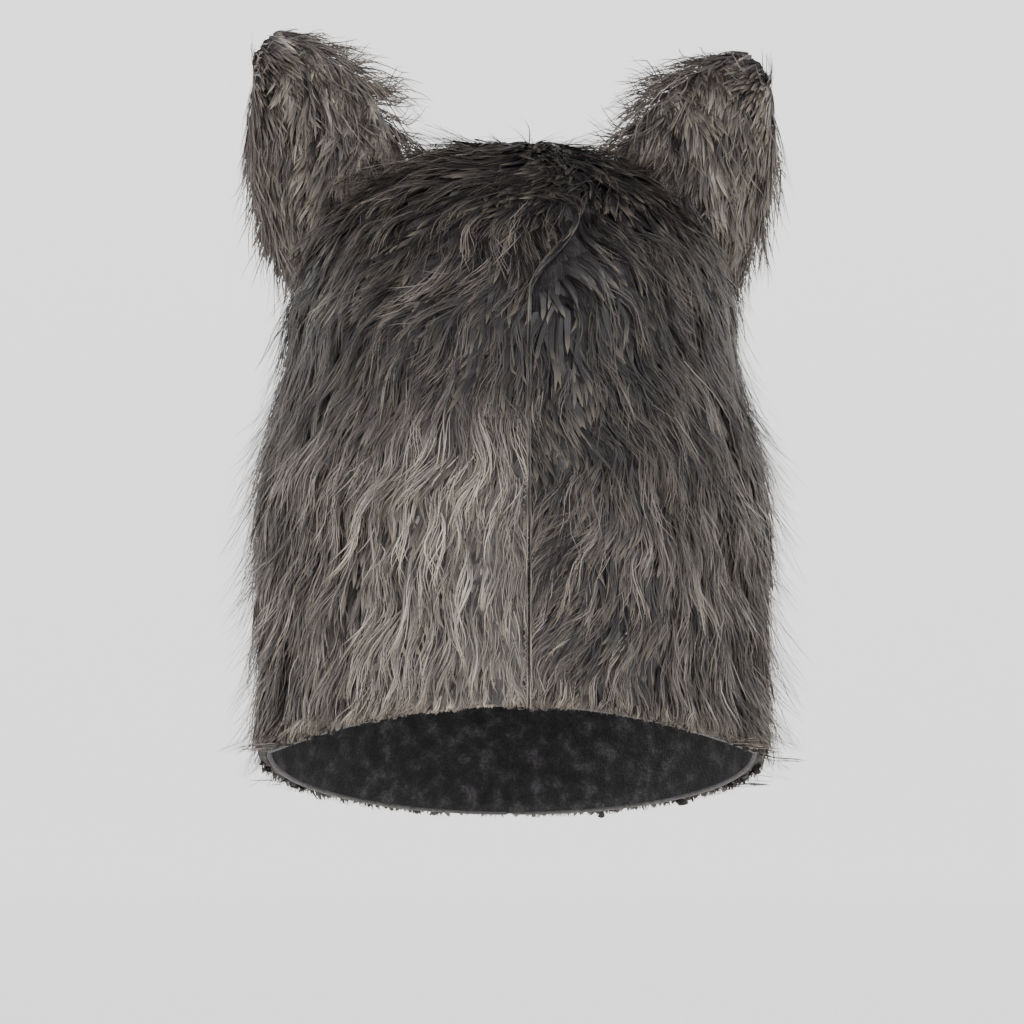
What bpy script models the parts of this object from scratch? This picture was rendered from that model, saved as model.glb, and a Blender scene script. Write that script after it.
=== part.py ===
"""A full-head werewolf mask: a fur hood in two lapped halves, two cupped ears and a moulded face.

Metres, +Z up. The face looks along -Y and the wearer's left is +X. The origin is the point
inside the crown where the top of the head seats. Every shape of the hood comes from
hood_point, which gives a point for an angle round the head, a climb from hem to crown and
a lift off the backing cloth.
"""

import math

import bmesh
import bpy
import numpy as np
from mathutils import Vector

# Hood
HOOD_HALF_WIDTH = 0.110  # centre to the side fold near the hem, outer face of the backing
BACK_DEPTH = 0.100  # origin to the centre back
FRONT_DEPTH = 0.098  # origin to the centre front
HOOD_HEIGHT = 0.246  # crown to hem at the centre back
SIDE_HEM_DROP = 0.024  # how much lower the hem is at the side folds
FRONT_HEM_DROP = 0.032  # how much lower still it is at the centre front
DOME_DEPTH = 0.085  # crown to the foot of the dome
BACKING = 0.0018  # thickness of the knitted backing
PILE = 0.007  # thickness of the fur's dense part
GAP = 0.0003  # between pieces that touch
FACET_ROOM = 0.0004  # what the facets of two curved walls may take of a gap
SEAM_GAP = 0.0005  # between the two halves where they butt

# Lap and closing strip at the centre back
LAP_PAST_CENTRE = 0.007  # the free edge lies this far past the centre, on the wearer's right
LAP_WIDTH = 0.022  # how far the right half runs on under the left one
LAP_FADE = 0.018  # width of the slope from the lap down to the left half's own level
SLIT_TOP = 0.036  # crown to the top of the slit
SLIT_CURVE = 0.034  # height of the curve at the top of the slit
SLIT_SWEEP = 0.020  # how far that curve swings to the wearer's right
TAPE_WIDTH = 0.012
TAPE_LENGTH = 0.150
TAPE_THICKNESS = 0.0015
TAPE_TOP = 0.082  # crown to the top of the strip

# Locks of fur
LOCK_LENGTH = 0.034
LOCK_HALF_WIDTH = 0.0080
LOCK_HALF_DEPTH = 0.0035
LOCK_RISE = 0.0035  # how far a lock's back stands out of the pile
LOCK_SPACING = 0.030
LOCK_SWAY = 0.007  # sideways drift of a lock's tip
CLIMB_STEP = 0.1  # the change in climb that a lock's fall is measured over

# Ears, as seen from the front or the back
EAR_FOOT_OUTER_X = 0.096
EAR_FOOT_OUTER_Z = -0.052
EAR_FOOT_INNER_X = 0.050
EAR_FOOT_INNER_Z = -0.001
EAR_TIP_X = 0.112
EAR_TIP_Z = 0.052
EAR_DROOP = 0.010  # the wearer's right ear stands this much lower at its tip
EAR_BOW = 0.010  # how far the edges swell past straight lines
EAR_CUP = 0.022  # how far the edges curl forward of the middle
EAR_THICKNESS = 0.008
EAR_TIP_WIDTH = 0.013
EAR_LEAN = 0.010  # how far the tip stands forward of the foot
EAR_PLACE_Y = 0.004  # middle of the ear's foot
EAR_SEAT_DEPTH = 0.020  # the uncut foot reaches this far into the head

# Face
OPENING_HALF_WIDTH = 0.068
OPENING_HALF_HEIGHT = 0.074
OPENING_DEPTH = 0.128  # crown to the middle of the face opening
FACE_LAP = 0.012  # width of the rim that lies behind the hood
FACE_WALL = 0.0026
FACE_CLEARANCE = 0.0019  # between the rim and the backing, most of it taken by facets
MUZZLE_REACH = 0.082  # how far the muzzle stands out of the face
MUZZLE_HALF_WIDTH = 0.031
MUZZLE_DROP = 0.032  # middle of the opening to the middle of the muzzle's tip
MUZZLE_DEPTH = OPENING_DEPTH + MUZZLE_DROP
FACE_FLAT_RIM = 0.88  # share of the opening outside which the face follows the hood
BROW_REACH = 0.013
EYE_HALF_WIDTH = 0.0135
EYE_HALF_HEIGHT = 0.0080
EYE_PLACE_X = 0.036
EYE_RISE = 0.023  # middle of the opening to the middle of the eyes
EYE_DEPTH = OPENING_DEPTH - EYE_RISE
EYE_TILT = 0.30  # radians, outer corners up
NOSE_THICKNESS = 0.010

# Plan sections of the hood. Level is a share of HOOD_HEIGHT below the crown, and the next
# three are shares of the half-width, back depth and front depth. Pinch flattens the front
# and the back towards a sharp side fold: 0 is round, 1 is a lens.
SECTION_COLUMNS = ("level", "half_width", "back", "front", "pinch")
SECTIONS = (
    (DOME_DEPTH / HOOD_HEIGHT, 0.86, 1.00, 0.97, 0.00),
    (0.48, 0.91, 1.01, 1.00, 0.08),
    (0.62, 0.985, 0.99, 1.00, 0.25),
    (0.80, 0.995, 0.96, 0.97, 0.48),
    (1.00, 1.00, 0.94, 0.96, 0.66),
    (1.24, 1.01, 0.93, 0.98, 0.76),
)

# The muzzle's side view. Drop is measured from the muzzle's middle down, as a share of
# OPENING_HALF_HEIGHT; reach and width are shares of MUZZLE_REACH and MUZZLE_HALF_WIDTH.
MUZZLE_COLUMNS = ("drop", "reach", "width")
MUZZLE_PROFILE = (
    (-1.10, 0.00, 0.70),
    (-0.72, 0.09, 0.80),
    (-0.46, 0.34, 0.78),
    (-0.22, 0.84, 0.86),
    (0.00, 1.00, 1.00),
    (0.20, 0.95, 1.06),
    (0.34, 0.74, 1.02),
    (0.52, 0.40, 0.96),
    (0.80, 0.00, 0.80),
)

WALL_ROWS = 8
DOME_ROWS = 6
UNDER_COLUMNS = 4
LAP_COLUMNS = 5
SIDE_COLUMNS = 12
LAP_SHARE = 0.13  # share of a half's girth that the lap columns cover
FACE_ROWS = 11
FACE_COLUMNS = 28
MUZZLE_ROWS = 5  # of the face's rows, those on the muzzle
NOSE_ROWS = 2  # and the count of those that the nose covers
EAR_ROWS = 9
EAR_COLUMNS = 10
TAPE_ROWS = 10

LEFT = 1
RIGHT = -1


def read_table(table, columns, column, at):
    """A smooth curve through one column, read at places along the first column."""
    rows = np.array(table)
    places = rows[:, 0]
    values = rows[:, columns.index(column)]
    slopes = np.gradient(values, places)
    slopes[0] = 0.0
    low = np.clip(np.searchsorted(places, at) - 1, 0, len(places) - 2)
    span = places[low + 1] - places[low]
    share = np.clip((at - places[low]) / span, 0, 1)
    rest = 1 - share
    ends = values[low] * (1 + 2 * share) * rest**2 + values[low + 1] * (3 - 2 * share) * share**2
    bends = slopes[low] * share * rest**2 - slopes[low + 1] * share**2 * rest
    return ends + bends * span


def fade(value, start, end):
    """0 before start, 1 after end and a smooth slope between; end may be the smaller one."""
    share = np.clip((value - start) / (end - start), 0, 1)
    return share**2 * (3 - 2 * share)


def section(depth, lift):
    """Half-width, back depth, front depth and pinch of the hood at a depth below the crown."""
    level = np.maximum(depth, DOME_DEPTH) / HOOD_HEIGHT
    half_width = HOOD_HALF_WIDTH * read_table(SECTIONS, SECTION_COLUMNS, "half_width", level)
    back = BACK_DEPTH * read_table(SECTIONS, SECTION_COLUMNS, "back", level)
    front = FRONT_DEPTH * read_table(SECTIONS, SECTION_COLUMNS, "front", level)
    pinch = read_table(SECTIONS, SECTION_COLUMNS, "pinch", level)
    return half_width + lift, back + lift, front + lift, pinch


def hem_depth(angle):
    """Depth of the hem below the crown: lowest at the front, with a corner at the side folds."""
    side_drop = SIDE_HEM_DROP * np.where(np.cos(angle) > 0, np.sin(angle) ** 2, 1)
    front_drop = FRONT_HEM_DROP * np.clip(-np.cos(angle), 0, 1)
    return HOOD_HEIGHT + side_drop + front_drop


def hood_point(angle, climb, lift):
    """Points of the hood, as an array with x, y and z last.

    Angle is 0 at the centre back and grows to the wearer's left. Climb is 0 at the hem, 1 at
    the foot of the dome and 2 at the crown. Lift is the height above the backing's outer face.
    """
    angle, climb, lift = np.broadcast_arrays(angle, climb, lift)
    wall = np.minimum(climb, 1)
    turn = np.clip(climb - 1, 0, 1) * math.pi / 2
    depth = hem_depth(angle) * (1 - wall) + DOME_DEPTH * wall
    half_width, back, front, pinch = section(depth, lift)
    facing = np.cos(angle)
    swell = np.abs(facing) * (1 - pinch + pinch * np.abs(facing))
    x = half_width * np.cos(turn) * np.sin(angle)
    y = np.where(facing > 0, back, -front) * np.cos(turn) * swell
    z = BACKING - depth + (DOME_DEPTH + lift) * np.sin(turn)
    return np.stack((x, y, z), axis=-1)


def depth_of(climb):
    """Depth below the crown at the centre back."""
    return BACKING - hood_point(0.0, climb, 0.0)[..., 2]


def edge_angle(climb, under):
    """Angle of the back edge that both halves share, or of the edge hidden under the lap."""
    depth = depth_of(climb)
    sweep = SLIT_SWEEP * fade(depth, SLIT_TOP + SLIT_CURVE, SLIT_TOP)
    x = -(LAP_PAST_CENTRE + sweep) * np.clip(depth / SLIT_TOP, 0, 1)
    if under:
        x = x + LAP_WIDTH * fade(depth, SLIT_TOP + SLIT_CURVE * 0.3, SLIT_TOP + SLIT_CURVE * 1.3)
    half_width = hood_point(math.pi / 2, climb, 0.0)[..., 0]
    return np.arcsin(np.clip(x / np.maximum(half_width, 0.001), -0.9, 0.9))


def lap_lift(x, depth):
    """How far the left half stands off where it lies over the right half."""
    height = BACKING + TAPE_THICKNESS + 2 * GAP + FACET_ROOM
    inner_edge = LAP_WIDTH - LAP_PAST_CENTRE
    across = fade(x, inner_edge + LAP_FADE, inner_edge + GAP)
    return height * across * fade(depth, SLIT_TOP * 0.55, SLIT_TOP)


def half_point(side, share, climb, lift):
    """Points of one half: share is 0 at its back edge, 1 at the centre front and -1 at the
    edge that the right half has under the lap.
    """
    share, climb, lift = np.broadcast_arrays(share, climb, lift)
    back_edge = edge_angle(climb, under=False)
    angle = back_edge + (side * math.pi - back_edge) * np.maximum(share, 0)
    angle = angle + (edge_angle(climb, under=True) - back_edge) * np.maximum(-share, 0)
    points = hood_point(angle, climb, lift)
    if side == LEFT:
        extra = lap_lift(points[..., 0], BACKING - points[..., 2])
        points = hood_point(angle, climb, lift + extra)
    points[..., 0] += side * SEAM_GAP / 2
    return points


def half_grid(under=False):
    """Shares and climbs of a half's grid, closer together at the lap."""
    hidden = np.linspace(-1, 0, UNDER_COLUMNS if under else 0, endpoint=False)
    lap = np.linspace(0, LAP_SHARE, LAP_COLUMNS, endpoint=False)
    rest = np.linspace(LAP_SHARE, 1, SIDE_COLUMNS + 1)
    walls = np.linspace(0, 1, WALL_ROWS, endpoint=False)
    domes = np.linspace(1, 2, DOME_ROWS + 1)
    return np.meshgrid(np.concatenate((hidden, lap, rest)), np.concatenate((walls, domes)))


def add_material(piece, colour, roughness):
    """A Principled material of its own for a piece."""
    material = bpy.data.materials.new(piece.name)
    material.use_nodes = True
    shader = material.node_tree.nodes["Principled BSDF"]
    shader.inputs["Base Color"].default_value = (*colour, 1.0)
    shader.inputs["Roughness"].default_value = roughness
    shader.inputs["Metallic"].default_value = 0.0
    piece.data.materials.append(material)


def add_object(name, bm, sharp_angle=0.9):
    """Turn a bmesh into an object, closed points merged and faces turned outwards."""
    bmesh.ops.remove_doubles(bm, verts=bm.verts[:], dist=0.000001)
    bmesh.ops.recalc_face_normals(bm, faces=bm.faces[:])
    mesh = bpy.data.meshes.new(name)
    bm.to_mesh(mesh)
    bm.free()
    mesh.shade_smooth()
    mesh.set_sharp_from_angle(angle=sharp_angle)
    piece = bpy.data.objects.new(name, mesh)
    bpy.context.scene.collection.objects.link(piece)
    return piece


def sheet_solid(name, outer, inner, closed=False, inner_rim=False):
    """A closed solid between two grids. A closed grid joins its last column to its first, and
    has a rim at its first row too where it is a ring. Every cell has the same diagonal, so
    that the facets of two sheets one above the other run parallel.
    """
    rows, columns = outer.shape[:2]
    bm = bmesh.new()
    layers = [[[bm.verts.new(Vector(p)) for p in row] for row in layer] for layer in (outer, inner)]
    steps = columns if closed else columns - 1
    for layer in layers:
        for i in range(rows - 1):
            for j in range(steps):
                k = (j + 1) % columns
                bm.faces.new((layer[i][j], layer[i][k], layer[i + 1][k]))
                bm.faces.new((layer[i][j], layer[i + 1][k], layer[i + 1][j]))
    out, into = layers
    rim_rows = (rows - 1,) if closed and not inner_rim else (0, rows - 1)
    for i in rim_rows:
        for j in range(steps):
            k = (j + 1) % columns
            bm.faces.new((out[i][j], out[i][k], into[i][k], into[i][j]))
    if not closed:
        for j in (0, columns - 1):
            for i in range(rows - 1):
                bm.faces.new((out[i][j], out[i + 1][j], into[i + 1][j], into[i][j]))
    return add_object(name, bm)


def as_guide(piece):
    """Mark an object as a cutter or a guide, which isn't part of the mask."""
    piece.hide_render = True
    piece.display_type = "WIRE"
    return piece


def join_shape(piece, other, operation):
    """Add or cut away another shape with an exact Boolean."""
    modifier = piece.modifiers.new(other.name, "BOOLEAN")
    modifier.operation = operation
    modifier.solver = "EXACT"
    modifier.use_self = operation == "UNION"
    modifier.object = other


def add_lock(bm, root, middle, tip, outward, half_width, half_depth):
    """A four-sided lock of fur that narrows from root and middle to its tip."""
    across = (tip - root).cross(outward).normalized()
    rings = []
    for centre, share in ((root, 0.7), (middle, 1.0)):
        wide = across * half_width * share
        deep = outward * half_depth * share
        rings.append([bm.verts.new(centre + offset) for offset in (wide, deep, -wide, -deep)])
    end = bm.verts.new(tip)
    bm.faces.new(rings[0])
    for j in range(4):
        k = (j + 1) % 4
        bm.faces.new((rings[0][j], rings[0][k], rings[1][k], rings[1][j]))
        bm.faces.new((rings[1][j], rings[1][k], end))


def near_ear(side, point):
    """Whether a point is where an ear stands."""
    outer = Vector((side * EAR_FOOT_OUTER_X, EAR_PLACE_Y - EAR_CUP, EAR_FOOT_OUTER_Z))
    inner = Vector((side * EAR_FOOT_INNER_X, EAR_PLACE_Y - EAR_CUP, EAR_FOOT_INNER_Z))
    along = inner - outer
    share = min(max((point - outer).dot(along) / along.length_squared, 0), 1)
    return (point - outer - along * share).length < EAR_CUP + EAR_THICKNESS + LOCK_HALF_WIDTH


def over_opening(point):
    """Whether a point lies over the face opening or its brink."""
    wide = point.x / (OPENING_HALF_WIDTH + LOCK_HALF_WIDTH * 1.5)
    high = (point.z + OPENING_DEPTH) / (OPENING_HALF_HEIGHT + LOCK_HALF_WIDTH * 1.5)
    return point.y < 0 and wide**2 + high**2 < 1


def make_locks(side, name):
    """Locks in staggered rows over one half, each a body of its own."""
    bm = bmesh.new()
    wall_rows = max(round((HOOD_HEIGHT - DOME_DEPTH) / LOCK_SPACING), 2)
    dome_rows = max(round(DOME_DEPTH * math.pi / 2 / LOCK_SPACING), 2)
    climbs = [(i + 0.5) / wall_rows for i in range(wall_rows)]
    climbs += [1 + (i + 0.5) / dome_rows for i in range(dome_rows)]
    for row, climb in enumerate(climbs):
        girth = math.pi * (hood_point(math.pi / 2, climb, 0.0)[0] + BACK_DEPTH * 0.5) * 0.7
        count = max(int(girth / LOCK_SPACING), 1)
        below = half_point(side, 0.5, climb - CLIMB_STEP, PILE)
        step = np.linalg.norm(half_point(side, 0.5, climb, PILE) - below)
        fall = CLIMB_STEP * LOCK_LENGTH / step
        for i in range(count):
            stagger = 0.25 if row % 2 else -0.25
            share = (i + 0.5 + stagger) / count
            sway = LOCK_SWAY / girth * math.sin(2.4 * i + 1.7 * row)
            edge = 1.3 * (LOCK_HALF_WIDTH + LOCK_SWAY) / girth
            if not edge < share < 1 - edge:
                continue
            root = Vector(half_point(side, share, climb, PILE * 0.65))
            middle = Vector(half_point(side, share + sway, climb - fall * 0.5, PILE + LOCK_RISE * 0.3))
            tip = Vector(half_point(side, share + sway * 0.6, climb - fall, PILE + LOCK_RISE * 1.6))
            outward = (Vector(half_point(side, share, climb, PILE * 2)) - root).normalized()
            if any(near_ear(side, point) or over_opening(point) for point in (root, middle, tip)):
                continue
            add_lock(bm, root, middle, tip, outward, LOCK_HALF_WIDTH, LOCK_HALF_DEPTH)
    return as_guide(add_object(name, bm))


def make_opening_cutter():
    """The prism that cuts the face opening out of the hood's front."""
    bm = bmesh.new()
    reach = (FRONT_DEPTH + PILE) * 2
    rings = []
    for y in (-reach, -FRONT_DEPTH * 0.1):
        ring = []
        for j in range(FACE_COLUMNS):
            turn = 2 * math.pi * j / FACE_COLUMNS
            x = OPENING_HALF_WIDTH * math.cos(turn)
            z = OPENING_HALF_HEIGHT * math.sin(turn) - OPENING_DEPTH
            ring.append(bm.verts.new((x, y, z)))
        rings.append(ring)
        bm.faces.new(ring)
    for j in range(FACE_COLUMNS):
        k = (j + 1) % FACE_COLUMNS
        bm.faces.new((rings[0][j], rings[0][k], rings[1][k], rings[1][j]))
    return as_guide(add_object("opening_cutter", bm))


def make_half(side, word, cutter):
    """The backing and the fur of one half of the hood."""
    shares, climbs = half_grid(under=side == RIGHT)
    outer = half_point(side, shares, climbs, 0.0)
    inner = half_point(side, shares, climbs, -BACKING)
    panel = sheet_solid(word + "_panel", outer, inner)
    add_material(panel, (0.075, 0.073, 0.076), 0.95)
    join_shape(panel, cutter, "DIFFERENCE")

    shares, climbs = half_grid()
    outer = half_point(side, shares, climbs, PILE)
    inner = half_point(side, shares, climbs, GAP)
    fur = sheet_solid(word + "_fur", outer, inner)
    add_material(fur, (0.125, 0.112, 0.107), 0.8)
    join_shape(fur, cutter, "DIFFERENCE")
    join_shape(fur, make_locks(side, word + "_locks"), "UNION")


def ear_point(side, across, along, layer):
    """Points of an ear: across is -1 at its outer edge, along is 1 at its tip, layer is 1 behind."""
    across, along, layer = np.broadcast_arrays(across, along, layer)
    foot_share = (across + 1) / 2
    foot_x = EAR_FOOT_OUTER_X + (EAR_FOOT_INNER_X - EAR_FOOT_OUTER_X) * foot_share
    foot_z = EAR_FOOT_OUTER_Z + (EAR_FOOT_INNER_Z - EAR_FOOT_OUTER_Z) * foot_share
    foot_width = math.hypot(EAR_FOOT_INNER_X - EAR_FOOT_OUTER_X, EAR_FOOT_INNER_Z - EAR_FOOT_OUTER_Z)
    spread = (across * EAR_TIP_WIDTH / 2 * along) + across * EAR_BOW * np.sin(math.pi * np.clip(along, 0, 1))
    across_x = (EAR_FOOT_INNER_X - EAR_FOOT_OUTER_X) / foot_width
    across_z = (EAR_FOOT_INNER_Z - EAR_FOOT_OUTER_Z) / foot_width
    x = foot_x + (EAR_TIP_X - foot_x) * along + spread * across_x
    tip_z = EAR_TIP_Z if side == LEFT else EAR_TIP_Z - EAR_DROOP
    z = foot_z + (tip_z - foot_z) * along + spread * across_z
    thickness = EAR_THICKNESS * (1 - 0.5 * np.clip(along, 0, 1)) * (1 - 0.35 * across**2)
    cup = EAR_CUP * across**2 * (1 - 0.6 * np.clip(along, 0, 1))
    y = EAR_PLACE_Y - cup - EAR_LEAN * along + layer * thickness / 2
    return np.stack((side * x, y, z), axis=-1)


def make_ear_tufts(side, name):
    """Small locks on the back and along the edges of an ear."""
    bm = bmesh.new()
    places = ((-0.60, 0.20), (-0.62, 0.52), (0.58, 0.26), (0.56, 0.58), (0.0, 0.34), (-0.02, 0.70))
    for across, along in places:
        root = Vector(ear_point(side, across, along, 0.2))
        middle = Vector(ear_point(side, across * 1.05, along + 0.10, 1.3))
        tip = Vector(ear_point(side, across * 1.25, along + 0.24, 1.9))
        add_lock(bm, root, middle, tip, Vector((0, 1, 0)), LOCK_HALF_WIDTH * 0.6, LOCK_HALF_DEPTH * 0.6)
    return as_guide(add_object(name, bm))


def make_ear(side, word):
    """A cupped ear, its foot cut to the fur that it stands on."""
    foot = -EAR_SEAT_DEPTH / (EAR_TIP_Z - (EAR_FOOT_OUTER_Z + EAR_FOOT_INNER_Z) / 2)
    across, along = np.meshgrid(np.linspace(-1, 1, EAR_COLUMNS), np.linspace(foot, 1, EAR_ROWS))
    ear = sheet_solid(word + "_ear", ear_point(side, across, along, 1), ear_point(side, across, along, -1))
    add_material(ear, (0.150, 0.135, 0.128), 0.8)
    join_shape(ear, make_ear_tufts(side, word + "_ear_tufts"), "UNION")
    shares, climbs = half_grid()
    seat_outer = half_point(side, shares, climbs, PILE + GAP)
    seat_inner = half_point(side, shares, climbs, -EAR_SEAT_DEPTH * 2)
    seat = sheet_solid(word + "_ear_seat", seat_outer, seat_inner)
    join_shape(ear, as_guide(seat), "DIFFERENCE")


def front_y(x, z, lift):
    """The hood's front as a height over the X and Z plane."""
    depth = BACKING - z
    half_width, _, front, pinch = section(depth, lift)
    rise = np.clip((DOME_DEPTH - depth) / (DOME_DEPTH + lift), 0, 0.98)
    shrink = np.sqrt(1 - rise**2)
    side = np.clip(x / (half_width * shrink), -0.98, 0.98)
    facing = np.sqrt(1 - side**2)
    return -front * shrink * facing * (1 - pinch + pinch * facing)


def face_point(ring, turn, inset):
    """Points of the face: ring is 0 at the muzzle's tip and 1 at the hidden rim."""
    ring, turn, inset = np.broadcast_arrays(ring, turn, inset)
    middle = MUZZLE_DEPTH + (OPENING_DEPTH - MUZZLE_DEPTH) * ring
    x = (OPENING_HALF_WIDTH + FACE_LAP) * ring * np.cos(turn)
    z = (OPENING_HALF_HEIGHT + FACE_LAP) * ring * np.sin(turn) - middle
    drop = (-z - MUZZLE_DEPTH) / OPENING_HALF_HEIGHT
    reach = (MUZZLE_REACH - inset) * read_table(MUZZLE_PROFILE, MUZZLE_COLUMNS, "reach", drop)
    width = (MUZZLE_HALF_WIDTH - inset) * read_table(MUZZLE_PROFILE, MUZZLE_COLUMNS, "width", drop)
    muzzle = reach / (1 + (np.abs(x) / width) ** 5)
    brow_height = (-z - EYE_DEPTH + 2.2 * EYE_HALF_HEIGHT) / (1.6 * EYE_HALF_HEIGHT)
    brow = BROW_REACH * np.exp(-(brow_height**2)) * np.exp(-((x / OPENING_HALF_WIDTH) ** 4) * 3)
    from_middle = np.hypot(x / OPENING_HALF_WIDTH, (z + OPENING_DEPTH) / OPENING_HALF_HEIGHT)
    inside = fade(from_middle, FACE_FLAT_RIM, FACE_FLAT_RIM * 0.72)
    y = front_y(x, z, -BACKING - FACE_CLEARANCE - inset) - (muzzle + brow) * inside
    return np.stack((x, y, z), axis=-1)


def make_eye_cutter(side, word):
    """The slanted oval prism that cuts an eye hole."""
    bm = bmesh.new()
    count = 16
    rings = []
    for y in (-(FRONT_DEPTH + MUZZLE_REACH) * 1.2, -FRONT_DEPTH * 0.3):
        ring = []
        for j in range(count):
            turn = 2 * math.pi * (j + 0.5) / count
            wide = EYE_HALF_WIDTH * math.cos(turn)
            high = EYE_HALF_HEIGHT * math.sin(turn)
            x = side * (EYE_PLACE_X + wide * math.cos(EYE_TILT) - high * math.sin(EYE_TILT))
            z = wide * math.sin(EYE_TILT) + high * math.cos(EYE_TILT) - EYE_DEPTH
            ring.append(bm.verts.new((x, y, z)))
        rings.append(ring)
        bm.faces.new(ring)
    for j in range(count):
        k = (j + 1) % count
        bm.faces.new((rings[0][j], rings[0][k], rings[1][k], rings[1][j]))
    return as_guide(add_object(word + "_eye_cutter", bm))


def face_shell(name, rings, turns, inner_rim):
    """One moulded shell of the face, over some of its rings."""
    turn, ring = np.meshgrid(turns, rings)
    outer = face_point(ring, turn, 0.0)
    inner = face_point(ring, turn, FACE_WALL)
    shell = sheet_solid(name, outer, inner, closed=True, inner_rim=inner_rim)
    add_material(shell, (0.060, 0.052, 0.048), 0.55)
    return shell


def make_face():
    """The face with its rim behind the hood, the muzzle set into it, and the nose."""
    rings = np.linspace(0, 1, FACE_ROWS + 1)
    turns = 2 * math.pi * np.arange(FACE_COLUMNS) / FACE_COLUMNS
    face = face_shell("face", rings[MUZZLE_ROWS:], turns, inner_rim=True)
    for side, word in ((LEFT, "left"), (RIGHT, "right")):
        join_shape(face, make_eye_cutter(side, word), "DIFFERENCE")

    muzzle_rings = rings[: MUZZLE_ROWS + 1].copy()
    muzzle_rings[-1] -= GAP / OPENING_HALF_WIDTH
    face_shell("muzzle", muzzle_rings, turns, inner_rim=False)

    turn, ring = np.meshgrid(turns, rings[: NOSE_ROWS + 1])
    seat = face_point(ring, turn, 0.0)
    seat[..., 1] -= GAP
    front = seat.copy()
    front[..., 1] -= NOSE_THICKNESS * (1 - 0.75 * (ring / ring.max()) ** 2)
    nose = sheet_solid("nose", front, seat, closed=True)
    add_material(nose, (0.012, 0.011, 0.011), 0.35)


def make_tape():
    """The closing strip between the lapped halves."""
    bottom = TAPE_TOP + TAPE_LENGTH
    depths = np.linspace(bottom, TAPE_TOP, TAPE_ROWS)
    middle = LAP_WIDTH / 2 - LAP_PAST_CENTRE
    across = np.linspace(middle - TAPE_WIDTH / 2, middle + TAPE_WIDTH / 2, 4)
    x, depth = np.meshgrid(across, depths)
    climb = (HOOD_HEIGHT - depth) / (HOOD_HEIGHT - DOME_DEPTH)
    angle = np.arcsin(x / hood_point(math.pi / 2, climb, 0.0)[..., 0])
    outer = hood_point(angle, climb, GAP + TAPE_THICKNESS)
    inner = hood_point(angle, climb, GAP)
    tape = sheet_solid("closure_tape", outer, inner)
    add_material(tape, (0.020, 0.020, 0.022), 0.9)


def main():
    """Clear the scene and build the mask."""
    for old in list(bpy.data.objects):
        bpy.data.objects.remove(old, do_unlink=True)
    cutter = make_opening_cutter()
    for side, word in ((LEFT, "left"), (RIGHT, "right")):
        make_half(side, word, cutter)
        make_ear(side, word)
    make_tape()
    make_face()


main()
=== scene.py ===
# %% [markdown]
# # A werewolf mask, seen from behind
# The real mask is a hood of long-pile fur fabric that covers the whole head. It has two
# pointed fur ears, a lapped opening down the centre back and a moulded face in front.
# This lesson dresses a fixed model: every piece rides on it and takes its place from it.

# %% Load the fixed model
import math

import bpy
import numpy as np
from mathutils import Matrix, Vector


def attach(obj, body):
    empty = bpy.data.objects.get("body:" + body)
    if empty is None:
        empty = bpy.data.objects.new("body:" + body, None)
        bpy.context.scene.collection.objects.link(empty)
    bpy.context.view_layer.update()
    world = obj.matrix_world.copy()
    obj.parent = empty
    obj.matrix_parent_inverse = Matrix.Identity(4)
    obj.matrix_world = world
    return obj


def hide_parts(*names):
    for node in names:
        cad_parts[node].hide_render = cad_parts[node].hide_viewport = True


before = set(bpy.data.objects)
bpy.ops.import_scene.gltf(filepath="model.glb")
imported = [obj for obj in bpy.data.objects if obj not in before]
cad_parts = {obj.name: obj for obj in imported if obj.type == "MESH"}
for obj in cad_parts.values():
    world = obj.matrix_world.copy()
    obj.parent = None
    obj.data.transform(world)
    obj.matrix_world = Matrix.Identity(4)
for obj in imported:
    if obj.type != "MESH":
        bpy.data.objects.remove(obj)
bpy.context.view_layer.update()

print("nodes:", sorted(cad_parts))

# %% [markdown]
# ## The camera
# The photograph is taken level, from straight behind and from far away. Each of its pixels
# covers 0.45 mm at the mask, and the origin, under the crown, lies at row 155 and column 512.
# A long lens at a few metres keeps the ears, the crown and the hem at their true sizes.

# %% Set up the camera
PIXEL = 0.00045
IMAGE_PIXELS = 1024
ORIGIN_ROW = 155
CAMERA_DISTANCE = 3.0
SENSOR = 36.0
camera_data = bpy.data.cameras.new("camera")
camera_data.sensor_width = SENSOR
camera_data.lens = SENSOR * CAMERA_DISTANCE / (IMAGE_PIXELS * PIXEL)
camera = bpy.data.objects.new("camera", camera_data)
middle_height = -(IMAGE_PIXELS / 2 - ORIGIN_ROW) * PIXEL
camera.location = (0.0, CAMERA_DISTANCE, middle_height)
camera.rotation_euler = (math.pi / 2, 0.0, math.pi)
bpy.context.scene.collection.objects.link(camera)
bpy.context.scene.camera = camera
print("lens:", round(camera_data.lens), "mm at height", round(middle_height, 3))

# %% [markdown]
# ## The hood as one formula
# Cloth, pile and strands all lie on one surface, so one function gives its points. An
# angle goes round the head from the centre back, a climb goes from 0 at the hem over 1 at
# the dome's foot to 2 at the crown, and a lift is the height above the backing cloth. The
# sizes are those of the fixed model.

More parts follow.
